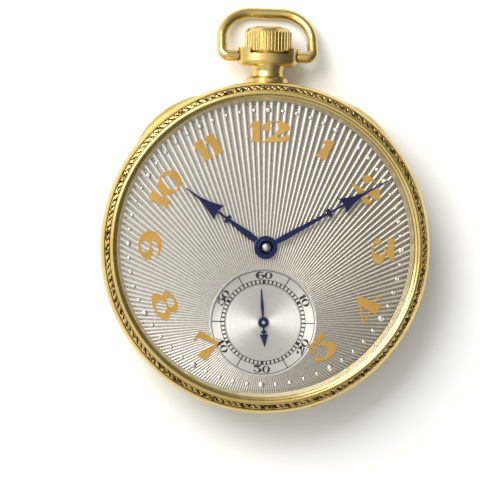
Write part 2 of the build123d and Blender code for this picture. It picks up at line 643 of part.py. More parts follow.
def barrel_bridge():
    """The upper bridge, over the barrel and the winding wheels."""
    solid = disc(BRIDGE_RADIUS, BRIDGE_LOW, BARREL_BRIDGE_TOP) & block(-20, 20, BRIDGE_SPLIT, 20, 0, 5)
    for start, end in ((16, 82), (98, 166)):
        solid += sector(BRIDGE_RADIUS, FOOT_INNER_RADIUS, start, end, BRIDGE_LOW, WEB_LOW)
    solid -= disc(5.2, 1, 1.85, *CROWN_WHEEL_AT) - disc(2.15, 1, 1.9, *CROWN_WHEEL_AT)
    solid -= block(-2.4, 2.4, 15.9, 20, 0, 5)
    solid -= disc(0.95, 0, 5, *BARREL_AT) + disc(0.32, 0, 5, *CLICK_AT)
    for angle in BRIDGE_SCREW_ANGLES[:4]:
        x, y = polar(BRIDGE_SCREW_CIRCLE, angle)
        solid -= disc(0.62, 0, 1.4, x, y) + disc(0.32, 1, 5, x, y)
    return solid


def train_bridge():
    """The lower bridge, over the centre, third, fourth and escape wheels, cut clear of the balance."""
    solid = disc(BRIDGE_RADIUS, BRIDGE_LOW, TRAIN_BRIDGE_TOP) & block(-6.4, 20, -20, BRIDGE_SPLIT - 0.3, 0, 5)
    solid -= disc(6.9, 0, 5, *BALANCE_AT) + block(-9, -2.3, -3.6, 4, 0, 5)
    solid += sector(BRIDGE_RADIUS, FOOT_INNER_RADIUS, -96, 3, BRIDGE_LOW, WEB_LOW)
    for x, y in ((0, 0), THIRD_AT, FOURTH_AT, ESCAPE_AT):
        solid -= disc(JEWEL_RADIUS, 0, 5, x, y)
    for angle in BRIDGE_SCREW_ANGLES[4:]:
        x, y = polar(BRIDGE_SCREW_CIRCLE, angle)
        solid -= disc(0.62, 0, 1.4, x, y) + disc(0.32, 1, 5, x, y)
    return solid


def arm(start, end, start_radius, end_radius, low, high):
    """A flat bar that joins two round ends of different size."""
    direction = atan2(end[1] - start[1], end[0] - start[0])
    across = (-sin(direction), cos(direction))
    corners = [
        (start[0] + across[0] * start_radius, start[1] + across[1] * start_radius),
        (end[0] + across[0] * end_radius, end[1] + across[1] * end_radius),
        (end[0] - across[0] * end_radius, end[1] - across[1] * end_radius),
        (start[0] - across[0] * start_radius, start[1] - across[1] * start_radius),
    ]
    bar = plate(stroke(*corners), low, high)
    return bar + disc(start_radius, low, high, *start) + disc(end_radius, low, high, *end)


def balance_cock():
    """The arm over the balance, with a foot at the plate's edge and a stud for the hairspring."""
    solid = arm(COCK_FOOT_AT, BALANCE_AT, 1.75, 1.3, BRIDGE_LOW, 1.65)
    solid += disc(1.75, BRIDGE_LOW, WEB_LOW, *COCK_FOOT_AT)
    solid += disc(0.95, 0.85, BRIDGE_LOW + 0.1, *BALANCE_AT)
    toward = degrees(atan2(COCK_FOOT_AT[1] - BALANCE_AT[1], COCK_FOOT_AT[0] - BALANCE_AT[0]))
    solid += disc(0.22, 1.6, 2.05, *stud_place(toward))
    solid -= disc(JEWEL_RADIUS, 0, 5, *BALANCE_AT)
    return solid - disc(0.82, 0, 1.45, *COCK_FOOT_AT) - disc(0.42, 1, 5, *COCK_FOOT_AT)


def stud_place(direction):
    """The hairspring stud's place, under the cock's arm."""
    x, y = polar(3.35, direction)
    return BALANCE_AT[0] + x, BALANCE_AT[1] + y


def pallet_bridge():
    """The small bridge that holds the pallet arbor's lower end."""
    solid = arm(PALLET_FOOT_AT, PALLET_AT, 0.75, 0.85, 2.97, 3.27)
    solid += disc(0.75, 2.97, WEB_LOW, *PALLET_FOOT_AT)
    return solid - disc(0.5, 0, 5, *PALLET_AT) - disc(0.32, 0, 5, *PALLET_FOOT_AT)


def bridge_screws():
    """The screws of the bridges, the cock, the pallet bridge and the click."""
    solids = Part()
    for angle in BRIDGE_SCREW_ANGLES:
        solids += screw(polar(BRIDGE_SCREW_CIRCLE, angle), 0.6, 0.3, BRIDGE_LOW, 1.38, 5.0)
    solids += screw(COCK_FOOT_AT, 0.8, 0.4, BRIDGE_LOW, 1.43, 5.0)
    solids += screw(PALLET_FOOT_AT, 0.6, 0.3, 2.8, 2.95, 5.0)
    return solids + screw(CLICK_AT, 0.75, 0.3, 0.52, WHEEL_LOW - 0.02, 2.0)


def case_screws():
    """Two screws whose heads reach under the case's inner lip and hold the movement in."""
    solids = Part()
    for angle in CASE_SCREW_ANGLES:
        solids += screw(polar(CASE_SCREW_CIRCLE, angle), 1.2, 0.4, 3.85, WEB_LOW - 0.02, 5.1)
    return solids


def jewels():
    """The pierced ruby bearings, in the bridges and in the plate."""
    low = 1.2
    holes = [((0, 0), 0.25), (THIRD_AT, PIVOT_RADIUS), (FOURTH_AT, PIVOT_RADIUS), (ESCAPE_AT, PIVOT_RADIUS)]
    solids = Part()
    for (x, y), pivot in holes:
        solids += ring(JEWEL_RADIUS - 0.01, pivot + RUNNING_GAP, low, low + 0.4, x, y)
    solids += ring(JEWEL_RADIUS - 0.01, 0.1 + RUNNING_GAP, low, low + 0.3, *BALANCE_AT)
    solids += ring(0.49, PIVOT_RADIUS + RUNNING_GAP, 3.0, 3.25, *PALLET_AT)
    for place, pivot in (
        (THIRD_AT, PIVOT_RADIUS),
        (FOURTH_AT, 0.22),
        (ESCAPE_AT, PIVOT_RADIUS),
        (PALLET_AT, PIVOT_RADIUS),
        (BALANCE_AT, 0.1),
    ):
        solids += ring(0.59, pivot + RUNNING_GAP, 4.5, 4.9, *place)
    return solids


# ---- movement: barrel and winding -------------------------------------------------------------------
def barrel_drum():
    """The toothed drum that holds the mainspring."""
    drum = disc(7.6, 2.75, 4.75) + gear(BARREL_TEETH, BARREL_MODULE, 2.8, 3.3, 0.5, (0, 0), BARREL_PHASE)
    drum -= disc(7.2, 3.05, 5) + disc(0.95, 0, 5)
    return Pos(*BARREL_AT, 0) * drum


def barrel_lid():
    """The lid snapped into the open side of the drum."""
    return ring(7.18, 0.95, 4.47, 4.72, *BARREL_AT)


def barrel_arbor():
    """The arbor that the mainspring winds onto, square where the ratchet wheel sits."""
    x, y = BARREL_AT
    solid = stepped(BARREL_AT, (0.9, 1.08, 5.2), (1.6, 3.15, 4.4))
    solid += Pos(x, y, (WHEEL_LOW + 1.1) / 2) * Box(1.2, 1.2, 1.1 - WHEEL_LOW)
    return solid - disc(0.35, 0, 2, x, y)


def mainspring():
    """The coiled mainspring."""
    return spiral(BARREL_AT, 1.9, 7.05, 8, 0.18, 3.2, 4.35)


def ratchet_wheel():
    """The wheel on the barrel arbor that winds the mainspring."""
    outline = toothed(RATCHET_TEETH, WINDING_MODULE, RATCHET_PHASE) - Rectangle(1.2, 1.2)
    return Pos(*BARREL_AT, 0) * plate(outline, WHEEL_LOW, WHEEL_HIGH)


def ratchet_screw():
    """The screw that holds the ratchet wheel on its arbor."""
    return screw(BARREL_AT, 1.3, 0.33, 0.52, WHEEL_LOW - 0.01, 1.9)


def crown_wheel():
    """The winding wheel: spur teeth for the ratchet wheel, and a raised ring of teeth for the pinion."""
    centre = CROWN_WHEEL_AT
    solid = gear(CROWN_WHEEL_TEETH, WINDING_MODULE, WHEEL_LOW, WHEEL_HIGH, 2.05, centre)
    solid += ring(4.9, 4.2, WHEEL_HIGH - 0.05, 1.5, *centre)
    tooth = block(4.2, 4.9, -0.16, 0.16, 1.45, 1.78)
    teeth = [Rot(0, 0, 90 + (i + 0.5) * 360 / CROWN_WHEEL_TEETH) * tooth for i in range(CROWN_WHEEL_TEETH)]
    return solid + Pos(*centre, 0) * (Part() + teeth)


def crown_wheel_seat():
    """The fixed collar that the crown wheel turns on."""
    x, y = CROWN_WHEEL_AT
    seat = ring(2.0, 0.5, 0.7, 1.1, x, y) + ring(2.5, 0.5, 0.5, 0.7, x, y) - disc(1.1, 0, 0.62, x, y)
    return seat + screw((x, y), 1.0, 0.52, 0.5, 0.62, 1.1)


def click():
    """The pawl that lets the ratchet wheel turn only one way."""
    x, y = CLICK_AT
    clear = toothed_radius(RATCHET_TEETH, WINDING_MODULE) + 0.06
    aim = atan2(BARREL_AT[1] - y, BARREL_AT[0] - x) + radians(38)
    point = (x + 2.4 * cos(aim), y + 2.4 * sin(aim))
    solid = arm((x, y), point, 0.95, 0.25, WHEEL_LOW, WHEEL_HIGH) - disc(clear, 0, 2, *BARREL_AT)
    return solid - disc(0.33, 0, 2, x, y)


def toothed_radius(teeth, module):
    """The tip radius of a toothed wheel."""
    return teeth * module / 2 + 0.9 * module


def click_spring():
    """The flat spring that presses the click home, on its post."""
    x, y = CLICK_AT
    bends = [(x - 1.15, y + 0.4), (x - 0.6, y + 1.6), (x + 1.2, y + 2.4), (x + 3.0, y + 2.3)]
    near = Spline(*bends)
    far = Spline(*[(across, up + 0.2) for across, up in bends])
    ends = [Line(near @ 0, far @ 0), Line(near @ 1, far @ 1)]
    leaf = plate(make_face(Curve() + [near, far] + ends), 0.8, 1.0)
    return leaf + disc(0.45, 0.8, BRIDGE_LOW, x + 3.0, y + 2.4)


def winding_pinion():
    """The pinion on the stem that turns the crown wheel."""
    outline = toothed(WINDING_LEAVES, 0.27) - Circle(0.65)
    return Pos(0, 16.5, STEM_HEIGHT) * Rot(-90, 0, 0) * extrude(outline, 1.0)


def clutch_wheel():
    """The sliding clutch beside the winding pinion, with a groove for its lever."""
    solid = along_y(1.5, 15.0, 16.4) - (along_y(2, 15.15, 15.85) - along_y(1.05, 15.15, 15.85))
    end = Pos(0, 14.65, STEM_HEIGHT) * Rot(-90, 0, 0) * extrude(toothed(14, 0.2), 0.36)
    return solid + end - along_y(0.65, 14, 17)


def clutch_lever():
    """The lever whose end lies in the clutch's groove."""
    solid = arm(LEVER_AT, (3.2, 15.5), 0.9, 0.45, 5.34, 5.6)
    solid += block(0.0, 3.2, 15.33, 15.67, 5.34, 5.6)
    return solid - disc(0.4, 0, 7, *LEVER_AT)


# ---- movement: going train --------------------------------------------------------------------------
THIRD_PINION_PHASE = meshed(CENTRE_TEETH, 0.0, THIRD_LEAVES, (0, 0), THIRD_AT)
FOURTH_PINION_PHASE = meshed(THIRD_TEETH, 0.0, FOURTH_LEAVES, THIRD_AT, FOURTH_AT)
ESCAPE_PINION_PHASE = meshed(FOURTH_TEETH, 0.0, ESCAPE_LEAVES, FOURTH_AT, ESCAPE_AT)
BARREL_PHASE = meshed(CENTRE_LEAVES, 0.0, BARREL_TEETH, (0, 0), BARREL_AT)
RATCHET_PHASE = meshed(CROWN_WHEEL_TEETH, 0.0, RATCHET_TEETH, CROWN_WHEEL_AT, BARREL_AT)
MINUTE_WHEEL_PHASE = meshed(CANNON_LEAVES, 0.0, MINUTE_TEETH, (0, 0), MINUTE_WHEEL_AT)
HOUR_WHEEL_PHASE = meshed(MINUTE_LEAVES, 0.0, HOUR_TEETH, MINUTE_WHEEL_AT, (0, 0))
INTERMEDIATE_PHASE = meshed(
    MINUTE_TEETH, MINUTE_WHEEL_PHASE, INTERMEDIATE_TEETH, MINUTE_WHEEL_AT, INTERMEDIATE_AT
)
SETTING_PHASE = meshed(INTERMEDIATE_TEETH, INTERMEDIATE_PHASE, SETTING_TEETH, INTERMEDIATE_AT, SETTING_AT)


def centre_wheel():
    """The brass centre wheel."""
    return spoked(CENTRE_TEETH, CENTRE_MODULE, 2.2, 2.5, 0.6, (0, 0), hub=1.5)


def centre_pinion():
    """The centre arbor and its leaves, which the barrel turns."""
    solid = stepped((0, 0), (0.25, 1.2, 1.9), (0.6, 1.85, 2.55), (0.5, 2.5, WEB_HIGH), (0.3, WEB_HIGH, 8.05))
    return solid + gear(CENTRE_LEAVES, BARREL_MODULE, 2.5, 3.5, 0.3, (0, 0))


def third_wheel():
    """The brass third wheel."""
    return spoked(THIRD_TEETH, THIRD_MODULE, 3.7, 3.95, 0.4, THIRD_AT, hub=1.1)


def third_pinion():
    """The third arbor and its leaves."""
    solid = stepped(THIRD_AT, (PIVOT_RADIUS, 1.2, 4.9), (0.4, 1.85, 4.25))
    return solid + gear(THIRD_LEAVES, CENTRE_MODULE, 1.95, 2.8, 0.2, THIRD_AT, THIRD_PINION_PHASE)


def fourth_wheel():
    """The brass fourth wheel, which turns once a minute."""
    return spoked(FOURTH_TEETH, FOURTH_MODULE, 2.95, 3.15, 0.35, FOURTH_AT, hub=0.9)


def fourth_pinion():
    """The fourth arbor, long enough to carry the seconds hand."""
    solid = stepped(FOURTH_AT, (PIVOT_RADIUS, 1.2, 1.9), (0.35, 1.85, 4.25), (0.22, 4.2, 6.98))
    return solid + gear(FOURTH_LEAVES, THIRD_MODULE, 3.4, 4.22, 0.2, FOURTH_AT, FOURTH_PINION_PHASE)


def escape_wheel():
    """The steel escape wheel, with fifteen hooked teeth."""
    points = []
    for i in range(15):
        start = i * 24
        points += [polar(2.3, start), polar(2.9, start + 3), polar(2.86, start + 7), polar(2.3, start + 11)]
    spokes = Sketch() + [Rot(0, 0, i * 90) * Rectangle(4.2, 0.32) for i in range(2)]
    outline = stroke(*points) - ((Circle(1.95) - Circle(0.75)) - spokes) - Circle(0.3)
    return Pos(*ESCAPE_AT, 0) * plate(outline, 3.6, 3.8)


def escape_pinion():
    """The escape arbor and its leaves."""
    solid = stepped(ESCAPE_AT, (PIVOT_RADIUS, 1.2, 4.9), (0.3, 1.85, 4.25))
    return solid + gear(ESCAPE_LEAVES, FOURTH_MODULE, 2.75, 3.4, 0.1, ESCAPE_AT, ESCAPE_PINION_PHASE)


# ---- movement: escapement ---------------------------------------------------------------------------
def on_lever(shape):
    """A shape drawn about the pallet arbor, with +X towards the balance, put in its place."""
    return Pos(*PALLET_AT, 0) * Rot(0, 0, LEVER_ANGLE) * shape


def pallet_fork():
    """The lever: two pallet arms at one end, and a slotted head at the other."""
    balance = hypot(BALANCE_AT[0] - PALLET_AT[0], BALANCE_AT[1] - PALLET_AT[1])
    pin = balance - ROLLER_PIN_DISTANCE
    lever = stroke((-0.4, 0.3), (pin - 0.45, 0.16), (pin - 0.45, -0.16), (-0.4, -0.3))
    half_head = [(pin - 0.5, 0.2), (pin - 0.3, 0.5), (pin + 0.12, 0.4)]
    head = stroke(*half_head, *[(x, -y) for x, y in reversed(half_head)])
    slot = Pos(pin + 0.2, 0) * Rectangle(0.8, 0.32)
    reach_x, reach_y = polar(3.12, PALLET_SPAN)
    outline = lever + (head - slot) + Circle(0.55)
    for side in (-1, 1):
        outline += stroke(
            (0.1, 0.35 * side),
            (-0.3, -0.1 * side),
            (reach_x - PALLET_DISTANCE - 0.2, (reach_y - 0.05) * side),
            (reach_x - PALLET_DISTANCE + 0.15, (reach_y + 0.25) * side),
        )
    return on_lever(plate(outline - Circle(0.3), 3.58, 3.78))


def pallet_stones():
    """The two ruby blocks that the escape wheel's teeth push."""
    stones = Part()
    for side in (-1, 1):
        x, y = polar(3.2, PALLET_SPAN * side)
        stone = Pos(x - PALLET_DISTANCE, y, 3.68) * Rot(0, 0, PALLET_SPAN * side) * Box(0.5, 0.22, 0.16)
        stones += Pos(0, 0, 0.19) * stone
    return on_lever(stones)


def pallet_arbor():
    """The pallets' steel arbor."""
    return stepped(PALLET_AT, (PIVOT_RADIUS, 3.02, 4.85), (0.3, 3.35, 4.2))


def balance_wheel():
    """The split rim of the balance, on one straight arm."""
    rim = Circle(5.85) - Circle(5.25)
    arm_shape = Rectangle(10.8, 0.9) + Circle(1.1)
    cuts = Sketch() + [Rot(0, 0, turn) * Pos(5.5, 0) * Rectangle(1.2, 0.16) for turn in (14, 194)]
    wheel = plate(rim - cuts, 2.2, 2.75) + plate(arm_shape & Circle(5.5), 2.35, 2.6)
    return Pos(*BALANCE_AT, 0) * Rot(0, 0, 20) * (wheel - disc(0.35, 0, 5))


def balance_screws():
    """The timing screws round the balance's rim."""
    head = Pos(5.87, 0, 2.475) * Rot(0, 90, 0) * Cylinder(0.25, 0.45, align=BASE)
    screws = [Rot(0, 0, 20 + i * 360 / 16 + 11.25) * head for i in range(16)]
    return Pos(*BALANCE_AT, 0) * (Part() + screws)


def balance_staff():
    """The balance's staff, with the hairspring's collet."""
    return stepped(BALANCE_AT, (0.1, 1.2, 4.85), (0.35, 1.7, 4.3), (0.6, 1.8, 2.1))


def impulse_roller():
    """The roller under the balance, with the pin that moves the fork."""
    along = Pos(*BALANCE_AT, 0) * Rot(0, 0, LEVER_ANGLE + 180)
    return along * (ring(0.95, 0.35, 3.3, 3.5) + disc(0.12, 3.45, 3.66, ROLLER_PIN_DISTANCE, 0))


def hairspring():
    """The flat spiral spring of the balance."""
    toward = degrees(atan2(COCK_FOOT_AT[1] - BALANCE_AT[1], COCK_FOOT_AT[0] - BALANCE_AT[0]))
    return spiral(BALANCE_AT, 0.72, 3.1, 11, 0.06, 1.85, 2.0, start=toward)


def regulator():
    """The index on the cock: a ring round its boss, and a pointer over the arm."""
    toward = degrees(atan2(COCK_FOOT_AT[1] - BALANCE_AT[1], COCK_FOOT_AT[0] - BALANCE_AT[0]))
    pointer = stroke((1.2, 0.25), (6.4, 0.05), (6.4, -0.05), (1.2, -0.25))
    tail = stroke((-2.6, 0.2), (-1.2, 0.3), (-1.2, -0.3), (-2.6, -0.2))
    outline = Circle(1.45) - Circle(0.99) + pointer + tail
    return Pos(*BALANCE_AT, 0) * Rot(0, 0, toward) * plate(outline, 0.88, 1.06)


# ---- movement: motion work --------------------------------------------------------------------------
def cannon_pinion():
    """The pipe on the centre arbor that carries the minute hand."""
    leaves = gear(CANNON_LEAVES, CANNON_MODULE, 5.35, 5.72, 0.3, (0, 0))
    return leaves + disc(0.55, 5.35, 8.0) - disc(0.32, 5, 9)


def minute_wheel():
    """The minute wheel and its pinion, one piece."""
    wheel = gear(MINUTE_TEETH, CANNON_MODULE, 5.4, 5.6, 0.4, MINUTE_WHEEL_AT, MINUTE_WHEEL_PHASE)
    return wheel + gear(MINUTE_LEAVES, HOUR_MODULE, 5.58, 6.02, 0.4, MINUTE_WHEEL_AT)


def hour_wheel():
    """The hour wheel, and its pipe for the hour hand."""
    wheel = gear(HOUR_TEETH, HOUR_MODULE, 5.8, 6.0, 0.6, (0, 0), HOUR_WHEEL_PHASE)
    return wheel + ring(HOUR_PIPE_RADIUS, 0.6, 5.8, 7.4)


def intermediate_wheel():
    """The wheel between the minute wheel and the setting wheel."""
    return gear(INTERMEDIATE_TEETH, CANNON_MODULE, 5.4, 5.6, 0.4, INTERMEDIATE_AT, INTERMEDIATE_PHASE)


def setting_wheel():
    """The wheel that the clutch turns to set the hands."""
    return gear(SETTING_TEETH, CANNON_MODULE, 5.4, 5.6, 0.4, SETTING_AT, SETTING_PHASE)


# ---- the watch --------------------------------------------------------------------------------------
PIECES = (
    case_middle, bezel, crystal, back_cover, pendant, pendant_sleeve, bow, crown, stem, crown_gasket,
    dial, hour_numerals, minute_dots, seconds_track, hour_hand, minute_hand, seconds_hand,
    main_plate, barrel_bridge, train_bridge, balance_cock, pallet_bridge, bridge_screws, case_screws, jewels,
    barrel_drum, barrel_lid, barrel_arbor, mainspring, ratchet_wheel, ratchet_screw, crown_wheel,
    crown_wheel_seat, click, click_spring, winding_pinion, clutch_wheel, clutch_lever,
    centre_wheel, centre_pinion, third_wheel, third_pinion, fourth_wheel, fourth_pinion,
    escape_wheel, escape_pinion, pallet_fork, pallet_stones, pallet_arbor,
    balance_wheel, balance_screws, balance_staff, impulse_roller, hairspring, regulator,
    cannon_pinion, minute_wheel, hour_wheel, intermediate_wheel, setting_wheel,
)

os.makedirs("parts", exist_ok=True)
for make in PIECES:
    export_step(make(), f"parts/{make.__name__}.step")
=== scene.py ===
"""An open face pocket watch: its looks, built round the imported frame.

Lengths are in millimetres, except those handed straight to Blender, which are in metres.
"""

import json
import math

import bpy
import numpy as np
from mathutils import Matrix, Vector


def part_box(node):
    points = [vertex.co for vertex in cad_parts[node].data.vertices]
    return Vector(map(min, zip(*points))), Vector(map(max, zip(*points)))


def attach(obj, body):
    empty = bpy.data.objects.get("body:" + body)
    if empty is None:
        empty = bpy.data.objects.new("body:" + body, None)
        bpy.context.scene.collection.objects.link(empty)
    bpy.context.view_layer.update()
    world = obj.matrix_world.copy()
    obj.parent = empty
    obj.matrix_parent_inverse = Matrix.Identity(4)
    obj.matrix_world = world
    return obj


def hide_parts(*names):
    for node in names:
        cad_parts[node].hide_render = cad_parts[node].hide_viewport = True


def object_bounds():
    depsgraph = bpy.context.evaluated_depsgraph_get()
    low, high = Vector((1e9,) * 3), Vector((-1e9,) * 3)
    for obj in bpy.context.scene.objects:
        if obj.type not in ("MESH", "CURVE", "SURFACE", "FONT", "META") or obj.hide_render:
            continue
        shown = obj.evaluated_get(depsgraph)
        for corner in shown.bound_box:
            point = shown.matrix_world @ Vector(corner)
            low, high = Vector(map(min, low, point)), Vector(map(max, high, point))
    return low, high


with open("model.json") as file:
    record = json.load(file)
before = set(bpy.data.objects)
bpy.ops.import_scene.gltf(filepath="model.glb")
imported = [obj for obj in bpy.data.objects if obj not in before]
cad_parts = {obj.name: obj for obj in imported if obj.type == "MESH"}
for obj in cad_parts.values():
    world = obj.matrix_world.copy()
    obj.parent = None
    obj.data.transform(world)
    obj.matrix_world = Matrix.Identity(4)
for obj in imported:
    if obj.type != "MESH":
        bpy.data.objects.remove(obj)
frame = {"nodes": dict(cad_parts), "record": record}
cad_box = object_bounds()
nodes = frame["nodes"]
MM = 0.001

# ---- places read from the frame -----------------------------------------------------------------------
dial_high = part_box("dial")[1]
bezel_low, bezel_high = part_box("bezel")
seconds_low, seconds_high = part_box("seconds_track")
figures_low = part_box("hour_numerals")[0]
SECONDS_Y = (seconds_low.y + seconds_high.y) / 2 / MM
DIAL_TOP = figures_low.z / MM
DIAL_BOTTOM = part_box("hour_wheel")[0].z / MM + 0.35
DIAL_RADIUS = dial_high.x / MM
CASE_RADIUS = bezel_high.x / MM
BEZEL_FOOT = bezel_low.z / MM

SECONDS_RADIUS = 7.25
SECONDS_FLOOR = seconds_low.z / MM
DISC_RADIUS = 5.12
DISC_FLOOR = SECONDS_FLOOR - 0.05
CENTRE_HOLE = 1.15
RAYS = 192
BAND_REPEATS = 150


# ---- material building --------------------------------------------------------------------------------
class Paint:
    """One material's node tree, and short ways to add to it."""

    def __init__(self, name, **sockets):
        self.material = bpy.data.materials.new(name)
        self.material.use_nodes = True
        self.tree = self.material.node_tree
        self.shader = self.tree.nodes["Principled BSDF"]
        for socket, value in sockets.items():
            self.shader.inputs[socket.replace("_", " ")].default_value = value

    def add(self, kind, **settings):
        node = self.tree.nodes.new(kind)
        for key, value in settings.items():
            setattr(node, key, value)
        return node

    def link(self, source, target):
        self.tree.links.new(source, target)

    def place(self, stretch=(1, 1, 1), turn=0.0):
        """Object coordinates, stretched and turned about Z."""
        coordinate = self.add("ShaderNodeTexCoord")
        mapping = self.add("ShaderNodeMapping")
        mapping.inputs["Scale"].default_value = stretch
        mapping.inputs["Rotation"].default_value = (0, 0, turn)
        self.link(coordinate.outputs["Object"], mapping.inputs["Vector"])
        return mapping.outputs["Vector"]

    def noise(self, scale, detail=3.0, stretch=(1, 1, 1), turn=0.0, distortion=0.0):
        texture = self.add("ShaderNodeTexNoise")
        texture.inputs["Scale"].default_value = scale
        texture.inputs["Detail"].default_value = detail
        texture.inputs["Distortion"].default_value = distortion
        self.link(self.place(stretch, turn), texture.inputs["Vector"])
        return texture.outputs["Fac"]

    def axes(self):
        """The separate X, Y and Z of the object coordinates."""
        node = self.add("ShaderNodeSeparateXYZ")
        self.link(self.place(), node.inputs[0])
        return node.outputs

    def attribute(self, name):
        return self.add("ShaderNodeAttribute", attribute_name=name).outputs["Fac"]

    def ramp(self, factor, *stops):
        """A colour for each level of factor, given as (level, (r, g, b))."""
        node = self.add("ShaderNodeValToRGB")
        elements = node.color_ramp.elements
        while len(elements) < len(stops):
            elements.new(0.5)
        for element, (level, colour) in zip(elements, stops):
            element.position = level
            element.color = (*colour, 1)
        self.link(factor, node.inputs["Fac"])
        return node.outputs["Color"]

    def between(self, factor, dark, light):
        """A colour that drifts with a noise from a dark tone to a light one."""
        return self.ramp(factor, (0.3, dark), (0.7, light))

    def remap(self, value, low, high, from_low=0.3, from_high=0.7):
        node = self.add("ShaderNodeMapRange")
        node.inputs["From Min"].default_value = from_low
        node.inputs["From Max"].default_value = from_high
        node.inputs["To Min"].default_value = low
        node.inputs["To Max"].default_value = high
        self.link(value, node.inputs["Value"])
        return node.outputs["Result"]

    def math(self, operation, first, second):
        node = self.add("ShaderNodeMath", operation=operation)
        for socket, value in zip(node.inputs, (first, second)):
            if isinstance(value, (int, float)):
                socket.default_value = value
            else:
                self.link(value, socket)
        return node.outputs["Value"]

    def mix(self, factor, first, second, blend="MIX"):
        node = self.add("ShaderNodeMix", data_type="RGBA", blend_type=blend)
        sockets = node.inputs[0], node.inputs[6], node.inputs[7]
        for socket, value in zip(sockets, (factor, first, second)):
            if isinstance(value, (int, float)):
                socket.default_value = value
            elif isinstance(value, tuple):
                socket.default_value = (*value, 1)
            else:
                self.link(value, socket)
        return node.outputs[2]

    def bump(self, height, depth_mm, strength=1.0):
        node = self.add("ShaderNodeBump")
        node.inputs["Strength"].default_value = strength
        node.inputs["Distance"].default_value = depth_mm * MM
        self.link(height, node.inputs["Height"])
        self.link(node.outputs["Normal"], self.shader.inputs["Normal"])

    def base(self):
        """What colours the surface so far."""
        return self.shader.inputs["Base Color"].links[0].from_socket

    def colour(self, source):
        self.link(source, self.shader.inputs["Base Color"])

    def roughness(self, source):
        self.link(source, self.shader.inputs["Roughness"])


def metal(name, light, dark, smooth, rough, cloud=90, scratch_depth=0.0012):
    """A metal whose colour drifts, with smears in its gloss and hairlines in two directions."""
    paint = Paint(name, Metallic=1.0)
    clouds = paint.noise(cloud, 4.0, distortion=0.6)
    paint.colour(paint.between(clouds, dark, light))
    smears = paint.noise(cloud * 3.1, 5.0)
    paint.roughness(paint.remap(smears, smooth, rough))
    across = paint.noise(2500, 2.0, (1, 0.03, 1), 0.5)
    along = paint.noise(2000, 2.0, (0.03, 1, 1), -0.3)
    paint.bump(paint.math("ADD", across, along), scratch_depth)
    return paint


def gold_paint():
    """The polished case."""
    return metal("gold", (0.74, 0.575, 0.225), (0.62, 0.465, 0.16), 0.18, 0.29).material


def satin_reflection_paint():
    """The bezel's inner wall: duller than the polished case, and paler in colour as a painted reflection of
    the pale dial.
    """
    return metal("satin_gold_painted_reflection", (1.0, 0.92, 0.70), (0.95, 0.86, 0.61), 0.42, 0.54, 300, 0.002).material


def engraved_paint():
    """Gold that is dull and dark at the bottom of the cuts and bright on the raised leaves."""
    paint = metal("gold_engraved", (0.80, 0.60, 0.25), (0.60, 0.42, 0.14), 0.14, 0.26)
    depth = paint.attribute("depth")
    top = paint.base()
    grit = paint.noise(3000, 2.0)
    speckle = paint.ramp(grit, (0.35, (0.016, 0.006, 0.002)), (0.65, (0.07, 0.028, 0.007)))
    cuts = paint.remap(depth, 0.0, 1.0, 0.15, 0.5)
    stains = paint.remap(paint.noise(1700, 1.0), 0.0, 0.85, 0.55, 0.61)
    paint.colour(paint.mix(paint.math("MAXIMUM", cuts, stains), top, speckle))
    paint.roughness(paint.remap(depth, 0.2, 0.55, 0.0, 0.7))
    return paint.material


def figure_paint():
    light, dark = (0.82, 0.50, 0.135), (0.66, 0.38, 0.09)
    return metal("gold_figures", light, dark, 0.24, 0.36, 220, 0.0008).material


def ray_paint():
    """Silvering: burnished on the ridges and frosted between them; its colour, white on the ridges and
    greyer between them, is in part a painted highlight on the ridges and painted shade in the grooves.

    Painted shade darkens its colour from left to right, where the light falls off across the dial.
    """
    paint = Paint("silver_rays", Metallic=0.88)
    ridge = paint.attribute("ridge")
    grain = paint.noise(1800, 4.0)
    # Painted highlight and painted shade, in part: a light colour on the ridges and grey in the grooves,
    # besides the grooves' greater roughness below.
    low = paint.between(grain, (0.44, 0.41, 0.355), (0.54, 0.505, 0.445))
    high = paint.between(grain, (0.91, 0.88, 0.815), (0.98, 0.95, 0.885))
    # Painted shade: the colour is multiplied darker from left to right across the dial.
    side = paint.remap(paint.axes()["X"], 0.0, 1.0, -12 * MM, 14 * MM)
    painted_shade = paint.ramp(side, (0.0, (1.0, 1.0, 1.0)), (1.0, (0.57, 0.555, 0.515)))
    paint.colour(paint.mix(1.0, paint.mix(ridge, low, high), painted_shade, "MULTIPLY"))
    paint.roughness(paint.remap(ridge, 0.40, 0.27, 0.0, 1.0))
    paint.bump(paint.noise(5200, 3.0), 0.004, 0.5)
    return paint.material


def turned_silver(name, light, dark, metallic, smooth, rough):
    """Silver turned in fine circles, so that its sheen lies in two opposite wedges."""
    paint = Paint(name, Metallic=metallic, Anisotropic=0.75, Anisotropic_Rotation=0.115)
    tangent = paint.add("ShaderNodeTangent", direction_type="RADIAL", axis="Z")
    paint.link(tangent.outputs["Tangent"], paint.shader.inputs["Tangent"])
    coordinate = paint.add("ShaderNodeTexCoord")
    length = paint.add("ShaderNodeVectorMath", operation="LENGTH")
    paint.link(coordinate.outputs["Object"], length.inputs[0])
    rings = paint.add("ShaderNodeTexNoise", noise_dimensions="1D")
    rings.inputs["Scale"].default_value = 9000
    rings.inputs["Detail"].default_value = 2
    paint.link(length.outputs["Value"], rings.inputs["W"])
    paint.colour(paint.between(rings.outputs["Fac"], dark, light))
    paint.roughness(paint.remap(rings.outputs["Fac"], smooth, rough))
    paint.bump(rings.outputs["Fac"], 0.0004, 0.5)
    return paint.material


def ring_paint():
    """The seconds dial's outer ring."""
    return turned_silver("silver_ring", (0.78, 0.76, 0.71), (0.71, 0.69, 0.645), 0.9, 0.42, 0.50)


def disc_paint():
    """The seconds dial's sunk middle."""
    return turned_silver("silver_disc", (0.74, 0.72, 0.68), (0.70, 0.68, 0.64), 0.95, 0.42, 0.48)


